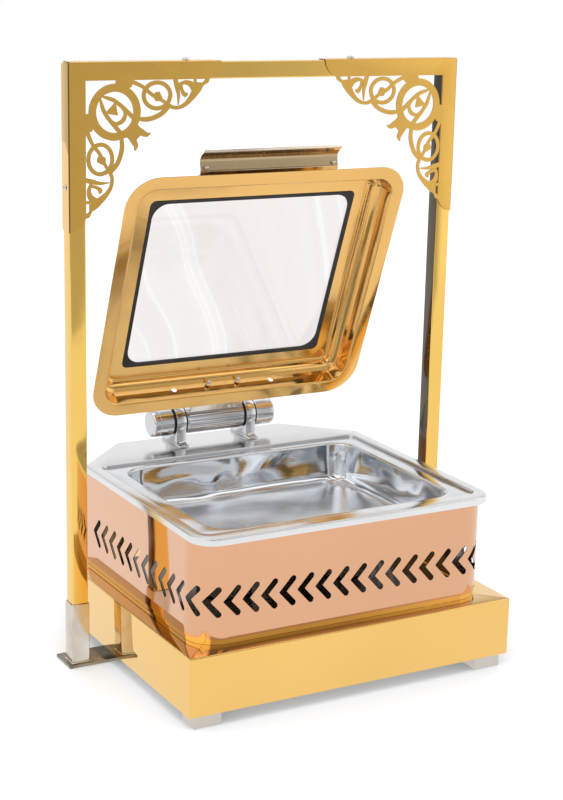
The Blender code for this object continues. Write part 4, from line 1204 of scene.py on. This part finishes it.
def rounded_dense(half, front, rear, radius):
    """A rounded rectangle whose straight sides are cut into equal parts."""
    steps, parts = 14, 26
    corners = rounded(half, front, rear, radius, steps)
    points = []
    for i in range(4):
        points += corners[i * (steps + 1):(i + 1) * (steps + 1)]
        start, end = Vector(points[-1]), Vector(corners[(i + 1) * (steps + 1) % len(corners)])
        points += [tuple(start.lerp(end, j / parts)) for j in range(1, parts)]
    return points


def pan_section(mouth, top, floor, skin):
    """Shape and height from the pan floor's middle to its flange, on one side of the sheet."""
    def wall(drop):
        return inset(mouth, drop + skin)

    run = []
    half, front, rear, radius = wall(PAN_TAPER + PAN_FOOT)
    middle, depth = (front + rear) / 2, (rear - front) / 2
    for i in range(18):
        size = 0.03 + 0.92 * i / 17
        run.append(((half * size, middle - depth * size, middle + depth * size, radius * size), floor))
    for angle in quarter(7):
        shape = wall(PAN_TAPER + PAN_FOOT * (1 - math.sin(angle)))
        run.append((shape, floor + PAN_FOOT * (1 - math.cos(angle))))
    lip = 0.0040
    height = top - lip - floor - PAN_FOOT
    for share in (0.12, 0.25, 0.37, 0.5, 0.62, 0.75, 0.87):
        run.append((wall(PAN_TAPER + (0.001 - PAN_TAPER) * share), floor + PAN_FOOT + share * height))
    for angle in quarter(7):
        run.append((wall(0.001 - lip * (1 - math.cos(angle))), top - lip * (1 - math.sin(angle))))
    return run


def pan(mouth, low, top, flange, dent):
    """A pressed pan: flange with a rolled edge, tapered walls, a round foot and a flat floor."""
    rings = []
    for skin in (-PAN_SHEET, 0.0):
        floor = low if skin else low + PAN_SHEET
        level = top - PAN_SHEET if skin else top
        run = pan_section(mouth, level, floor, skin)
        edge = [(inset(flange, 0.0016), level), (inset(flange, 0.0004), level - 0.0003),
                (flange, level - 0.0010 if not skin else level - 0.0004)]
        points = [[wavy((x, y, z), dent) for x, y in rounded_dense(*shape)] for shape, z in run + edge]
        rings += points if skin else points[::-1]
    return loft(rings)


def wavy(point, dent):
    """Pressing leaves the metal a little uneven below the flange."""
    x, y, z = point
    depth = min(max((0.266 - z) / 0.02, 0.0), 1.0) * dent
    shift = noise.noise_vector(Vector((x, y, z)) * 11.0) * depth
    return (x + shift.x, y + shift.y, z + abs(shift.z) * 0.6)


def add_pans():
    noise.seed_set(PAN_SEED)
    for node, name, mouth, dent in (("water_pan", "water_bath", WATER_MOUTH, 0.0),
                                    ("food_pan", "food_tray", FOOD_MOUTH, 0.0034)):
        low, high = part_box(node)
        # the water pan's darker steel is painted shade
        finish = "pan_steel" if dent else "inner_steel_shade"
        add_piece(name, pan(mouth, low.z, high.z, PAN_FLANGE, dent), finish, nodes=[node])


# ---------------------------------------------------------------- fuel burners

def round_node(node):
    """Middle of the foot, radius and height of an upright round node."""
    low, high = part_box(node)
    middle = (low + high) / 2
    return (middle.x, middle.y, low.z), (high.x - low.x) / 2, high.z - low.z


def add_burners():
    for side in ("left", "right"):
        place, radius, height = round_node(f"burner_cup_{side}")
        wall = 0.0012
        bore, rim = radius - wall, height - 0.0008
        profile = [(bore - 0.002, wall), (bore, wall + 0.002), (bore, rim), (radius - wall / 2, height),
                   (radius, rim), (radius, 0.002), (radius - 0.002, 0.0)]
        cup = turned(profile, place)
        add_piece(f"fuel_cup_{side}", cup, "brushed_steel", nodes=[f"burner_cup_{side}"])
        place, radius, height = round_node(f"burner_pin_{side}")
        profile = [(radius, 0.0), (radius, height - 0.0065), (radius - 0.0006, height - 0.006),
                   (0.003, height - 0.006), (0.003, height - 0.0006), (0.0022, height)]
        pin = turned(profile, place, steps=32)
        add_piece(f"cover_pin_{side}", pin, "screw_steel", nodes=[f"burner_pin_{side}"])
        give_finish(f"burner_cover_{side}", "brushed_steel")


# ---------------------------------------------------------------- hinge

def strap_outline():
    """Side view of a hinge strap: foot, waisted pedestal and round hub."""
    y, z = HINGE_PLACE.y, HINGE_PLACE.z
    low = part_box("hinge_bracket_left")[0].z
    above = low + STRAP_FOOT
    right = [(y + STRAP_FOOT_HALF, low), (y + STRAP_FOOT_HALF, above)]
    right += arc((y + STRAP_HALF + STRAP_FILLET, above + STRAP_FILLET), STRAP_FILLET, 270, 180, 6)
    start = math.degrees(math.asin(-HUB_SHOULDER / HUB_RADIUS))
    hub = arc((y, z), HUB_RADIUS, start, 180 - start, 48)
    left = [(2 * y - 0.002 - px, pz) for px, pz in reversed(right)]
    return soft_polygon(right + hub + left, 0.0006, 2)


def hinge_turned(profile, steps=64, closed=False):
    """A turned piece on the fixed part of the hinge's axis."""
    return turned(profile, (0, HINGE_PLACE.y, HINGE_PLACE.z), "X", steps, closed)


def add_strap(side, sign):
    """A drilled strap that stands on the deck; its edges round less than its corners."""
    ends = sorted((sign * STRAP_IN, sign * STRAP_OUT))
    solid = as_mesh(extruded(anticlockwise(strap_outline()), *ends, edge=0.0004), "strap")
    bore = SHAFT_RADIUS + GAP
    drill = as_mesh(hinge_turned([(bore, ends[0] - 0.01), (bore, ends[1] + 0.01)]), "drill")
    add_piece(f"hinge_strap_{side}", cut_away(solid, [drill]), "hinge_chrome",
              nodes=[f"hinge_bracket_{side}"])


def add_end_cap(side, sign):
    """A round cap with a crowned face and a groove near its end."""
    crown = [(BARREL_RADIUS - CROWN + CROWN * math.cos(a), CAP_END - CROWN + CROWN * math.sin(a))
             for a in quarter(8)]
    profile = [(SHAFT_RADIUS + GAP, CAP_END - 0.0077), (SHAFT_RADIUS + GAP, CAP_START),
               (BARREL_RADIUS - 0.0008, CAP_START), (BARREL_RADIUS, CAP_START + 0.0008),
               (BARREL_RADIUS, CAP_END - 0.012), (BARREL_RADIUS - CAP_GROOVE, CAP_END - 0.0115),
               (BARREL_RADIUS, CAP_END - 0.011)]
    cap = hinge_turned([(r, sign * x) for r, x in profile + crown], 96)
    add_piece(f"end_cap_{side}", cap, "hinge_chrome", nodes=[f"hinge_cap_{side}"])


def add_washer(where, side):
    node = f"hinge_washer_{where}_{side}"
    low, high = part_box(node)
    bore, radius, soft = SHAFT_RADIUS + GAP, (high.z - low.z) / 2, 0.0004
    profile = [(bore, low.x), (radius - soft, low.x), (radius, low.x + soft), (radius, high.x - soft),
               (radius - soft, high.x), (bore, high.x)]
    add_piece(f"{where}_washer_{side}", hinge_turned(profile, closed=True), "seal_rubber", nodes=[node])


def add_fixed_hinge():
    """The hinge's pin, straps, end caps and rubber washers."""
    low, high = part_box("hinge_shaft")
    soft = 0.001
    shaft = hinge_turned([(SHAFT_RADIUS - soft, low.x), (SHAFT_RADIUS, low.x + soft),
                          (SHAFT_RADIUS, high.x - soft), (SHAFT_RADIUS - soft, high.x)])
    add_piece("hinge_pin", shaft, "screw_steel", nodes=["hinge_shaft"])
    for side, sign in SIDES:
        add_strap(side, sign)
        add_end_cap(side, sign)
        for where in ("inner", "outer"):
            add_washer(where, side)


def add_moving_hinge():
    """The fluted barrel and the leaf that joins it to the lid."""
    bore, radius, half = SHAFT_RADIUS + GAP, BARREL_RADIUS, BARREL_HALF
    plain_end = 0.004

    def flute(angle, x):
        groove = 0.5 - 0.5 * math.cos(angle * FLUTES)
        return -FLUTE_DEPTH * groove ** 2 * (1.0 if abs(x) < half - plain_end else 0.0)

    profile = [(bore, -half), (radius - 0.0006, -half), (radius, -half + 0.0006), (radius, -half + 0.0038),
               (radius, -half + 0.0044), (radius, half - 0.0044), (radius, half - 0.0038),
               (radius, half - 0.0006), (radius - 0.0006, half), (bore, half)]
    barrel = turned(profile, (0, 0, 0), "X", 240, closed=True, flute=flute)
    add_lid_piece("barrel", barrel, "barrel_steel", ["hinge_barrel"])
    add_piece("leaf", softened("hinge_leaf", 0.0006), "screw_steel", "lid", ["hinge_leaf"])


# ---------------------------------------------------------------- lid

def lid_point(x, run, height):
    """A point of the closed lid, from its rear edge and flange plane, in the hinge's frame."""
    return (x, -LID_SETBACK - run, -LID_DROP + height)


def lid_ring(inward, height, radius=None):
    """A closed loop round the lid, at a distance inward from its edge."""
    if radius is None:
        radius = max(LID_RADIUS - inward, WINDOW_RADIUS)
    outline = rounded(LID_HALF - inward, inward, LID_LENGTH - inward, radius, 24)
    return [lid_point(x, run, height) for x, run in outline]


def add_lid():
    """A pressed shell with a stepped section and two round holes in its lower wall."""
    inner = soft_path(LID_SECTION, 0.0030, 4)
    outer = offset_path(inner, LID_SHEET)
    edge = [(-0.0004, LID_SHEET * 0.25), (-0.0004, LID_SHEET * 0.75)]
    rings = [lid_ring(*point) for point in inner + outer[::-1] + edge[::-1]]
    shell = as_mesh(loft(rings, closed=True), "shell")
    drills = []
    for x in (-HOLE_X, HOLE_X):
        start = lid_point(x, 0.045, HOLE_HEIGHT)
        drills.append(as_mesh(turned([(HOLE_RADIUS, 0.0), (HOLE_RADIUS, 0.030)], start, "Y", 32), "drill"))
    add_lid_piece("lid", cut_away(shell, drills), "lid_gold", ["lid_shell"])


def add_window():
    """The rubber frame with its groove, and the pane in it."""
    edge = LID_SECTION[-1][0] + GAP
    seat = LID_SECTION[-1][1] + LID_SHEET + GAP
    glass_low = seat + 0.0020
    glass_high = glass_low + GLASS
    groove_low, groove_high = glass_low - GAP, glass_high + GAP
    outer, groove, lip, inner = edge - 0.0080, edge - 0.0052, edge + 0.0010, edge + 0.0062
    sharp, wide = WINDOW_RADIUS, GLASS_RADIUS
    top, foot, soft = groove_high + 0.0012, 0.0405, 0.0005
    section = ((edge + soft, foot, sharp), (edge, foot + soft, sharp), (edge, seat, sharp),
               (outer, seat, sharp), (outer, top - soft, sharp), (outer + soft, top, sharp),
               (lip - soft, top, wide), (lip, top - soft, wide), (lip, groove_high, wide),
               (groove, groove_high, sharp), (groove, groove_low, sharp), (inner, groove_low, wide),
               (inner, foot + soft, wide), (inner - soft, foot, wide))
    gasket = loft([lid_ring(*point) for point in section], closed=True)
    add_lid_piece("gasket", gasket, "seal_rubber", ["window_gasket"])
    rim, bevel = groove + GAP, 0.0006
    section = ((rim + bevel, glass_low), (rim, glass_low + bevel), (rim, glass_high - bevel),
               (rim + bevel, glass_high))
    add_lid_piece("window", loft([lid_ring(*point, sharp) for point in section]), "window_glass",
                  ["window_glass"])


def grip_outline(base):
    """Section of the grip strip: a flat seat, a dish and a short lip."""
    steps = 16
    dish = [(GRIP_SEAT + 0.0040, base), (GRIP_SEAT + 0.0195, base)]
    dish += [(GRIP_SEAT + 0.020 + 0.029 * i / steps, base + 0.007 * math.sin(math.pi * i / steps))
             for i in range(1, steps + 1)]
    dish = soft_path(dish + [(GRIP_SEAT + 0.0530, base - 0.0010)], 0.002, 3)
    return dish + offset_path(dish, GRIP_SHEET)[::-1]


def paint_lip(grip):
    """The steel-coloured outer edge of the grip."""
    to_lid = LID_TURN.inverted()
    for polygon in grip.data.polygons:
        run = -(to_lid @ polygon.center).y - LID_SETBACK
        if run > GRIP_SEAT + LIP_START:
            polygon.material_index = 1


def add_handle():
    """The dished grip strip on its steel angle, with four screws."""
    add_piece("grip_angle", softened("handle_angle", 0.0004), "lip_steel", "lid", ["handle_angle"])
    base = ANGLE_FACE + ANGLE_SHEET + GAP
    outline = grip_outline(base)
    soft = 0.0004
    rings = []
    half = GRIP_HALF
    for x, shrink in ((-half, soft), (-half + soft, 0.0), (half - soft, 0.0), (half, soft)):
        rings.append([lid_point(x, u, v) for u, v in offset_loop(outline, -shrink)])
    grip = add_lid_piece("grip", loft(rings), "grip_gold", ["lid_handle"])
    grip.data.materials.append(bpy.data.materials["lip_steel"])
    paint_lip(grip)
    for name, x, run, height in (("low", 0.105, 0.0095, ANGLE_FACE), ("high", 0.110, 0.0235, base)):
        for side, sign in SIDES:
            place = lid_point(sign * x, GRIP_SEAT + run, height - GAP - 0.0002)
            add_lid_piece(f"grip_screw_{name}_{side}", screw(0.0036, 0.0020, place, "Z", -1), "screw_steel",
                          [f"handle_screw_{name}_{side}"])


def add_dome_nuts():
    for side, sign in SIDES:
        dome = [(0.0033 * math.cos(a), -0.0065 - 0.0033 * math.sin(a)) for a in quarter(8)[:-1]]
        profile = [(0.0042, 0.0), (0.0042, -0.0027), (0.0036, -0.0032), (0.0033, -0.0034)] + dome
        nut = turned(profile, lid_point(sign * NUT_X, NUT_SEAT, 0.0205), "Y", 24)
        add_lid_piece(f"dome_nut_{side}", nut, "hinge_chrome", [f"leaf_nut_{side}"])


def finish_posts():
    for depth in ("front", "rear"):
        for side in ("left", "right"):
            give_finish(f"deck_post_{depth}_{side}", "brushed_steel")


# ---------------------------------------------------------------- studio

def add_camera():
    camera = placed("camera", bpy.data.cameras.new("camera"))
    camera.data.lens = CAMERA_LENS
    camera.location = CAMERA_PLACE
    turn = (Matrix.Rotation(-math.radians(CAMERA_YAW), 3, "Z")
            @ Matrix.Rotation(math.pi / 2 - math.radians(CAMERA_PITCH), 3, "X")
            @ Matrix.Rotation(math.radians(CAMERA_ROLL), 3, "Z"))
    camera.rotation_euler = turn.to_euler()
    bpy.context.scene.camera = camera


def add_floor():
    """White to the eye, and an even pale glow in the metal."""
    tree, shader = new_finish("studio_floor", metallic=0.0)
    rays = add_node(tree, "LightPath").outputs
    tone = mixed(tree, rays["Is Camera Ray"], shade((0.15, 0.15, 0.15)), shade((0.90, 0.925, 0.96)))
    tree.links.new(tone, shader["Base Color"])
    shader["Roughness"].default_value = 0.9
    shader["Specular IOR Level"].default_value = 0.0
    shader["Emission Color"].default_value = shade((1.0, 1.0, 1.0))
    mirrored = math_node(tree, "MAXIMUM", rays["Is Glossy Ray"], rays["Is Transmission Ray"])
    tree.links.new(math_node(tree, "MULTIPLY", mirrored, FLOOR_GLOW), shader["Emission Strength"])
    bm = bmesh.new()
    corners = rounded(3.5, -2.3, 7.0, 0.4, 8)
    bm.faces.new([bm.verts.new((x, y, -0.0002)) for x, y in corners])
    mesh = bpy.data.meshes.new("floor")
    bm.to_mesh(mesh)
    bm.free()
    mesh.materials.append(bpy.data.materials["studio_floor"])
    placed("floor", mesh)


def add_surroundings():
    """White to the eye; what the metal mirrors is a white sweep, a dim room and soft boxes."""
    world = bpy.data.worlds.new("studio")
    bpy.context.scene.world = world
    world.use_nodes = True
    tree = world.node_tree
    tree.nodes.clear()
    direction = add_node(tree, "TexCoord").outputs["Generated"]
    axes = add_node(tree, "SeparateXYZ", Vector=direction).outputs
    across, deep, up = axes["X"], axes["Y"], axes["Z"]

    def area(axis, low, high, other, start, end):
        return math_node(tree, "MULTIPLY", smooth_step(tree, axis, low, high),
                         smooth_step(tree, other, start, end))

    sweep = math_node(tree, "MULTIPLY", area(deep, 0.0, 0.35, up, 0.66, 0.42),
                      smooth_step(tree, across, -0.50, -0.30))
    ceiling = smooth_step(tree, up, 0.30, 0.50)
    box_left = area(across, -0.50, -0.62, up, 0.10, 0.2)
    box_top = smooth_step(tree, up, 0.82, 0.88)
    box_right = area(across, 0.46, 0.62, deep, 0.3, 0.0)
    slant = add_node(tree, "VectorMath", {"operation": "DOT_PRODUCT"}, _0=direction, _1=(11.0, 6.0, 0.0))
    bars = smooth_step(tree, math_node(tree, "SINE", slant.outputs["Value"], 0.0), -0.1, 0.4)
    strips = math_node(tree, "MULTIPLY", bars, smooth_step(tree, up, 0.45, 0.62))
    bright = ROOM_GLOW
    for box, level in ((sweep, SWEEP_GLOW), (ceiling, -0.32), (box_left, 0.75), (box_top, 0.3),
                       (box_right, 0.55), (strips, 1.0)):
        bright = math_node(tree, "ADD", bright, math_node(tree, "MULTIPLY", box, level))
    rays = add_node(tree, "LightPath").outputs
    seen = math_node(tree, "MAXIMUM", rays["Is Camera Ray"], rays["Is Transmission Ray"])
    level = mixed(tree, rays["Is Diffuse Ray"], bright, MATT_GLOW, "FLOAT")
    level = mixed(tree, seen, level, 1.0, "FLOAT")
    background = add_node(tree, "Background", Color=(1.0, 1.0, 1.0, 1.0), Strength=level)
    output = add_node(tree, "OutputWorld")
    tree.links.new(background.outputs[0], output.inputs["Surface"])


def add_key_light():
    light = bpy.data.lights.new("key", "AREA")
    light.shape = "RECTANGLE"
    light.size, light.size_y = KEY_SIZE
    light.energy = KEY_WATTS
    lamp = placed("key", light)
    lamp.location = KEY_PLACE
    lamp.rotation_euler = (Vector(KEY_TARGET) - lamp.location).to_track_quat("-Z", "Y").to_euler()
    lamp.visible_glossy = False


def main():
    bpy.context.scene.view_settings.view_transform = "Standard"
    make_finishes()
    add_camera()
    add_floor()
    add_surroundings()
    add_key_light()
    add_plinth()
    add_feet()
    add_stand()
    add_brackets()
    add_body()
    add_deck()
    add_pans()
    add_burners()
    finish_posts()
    add_fixed_hinge()
    add_moving_hinge()
    add_lid()
    add_window()
    add_handle()
    add_dome_nuts()


main()
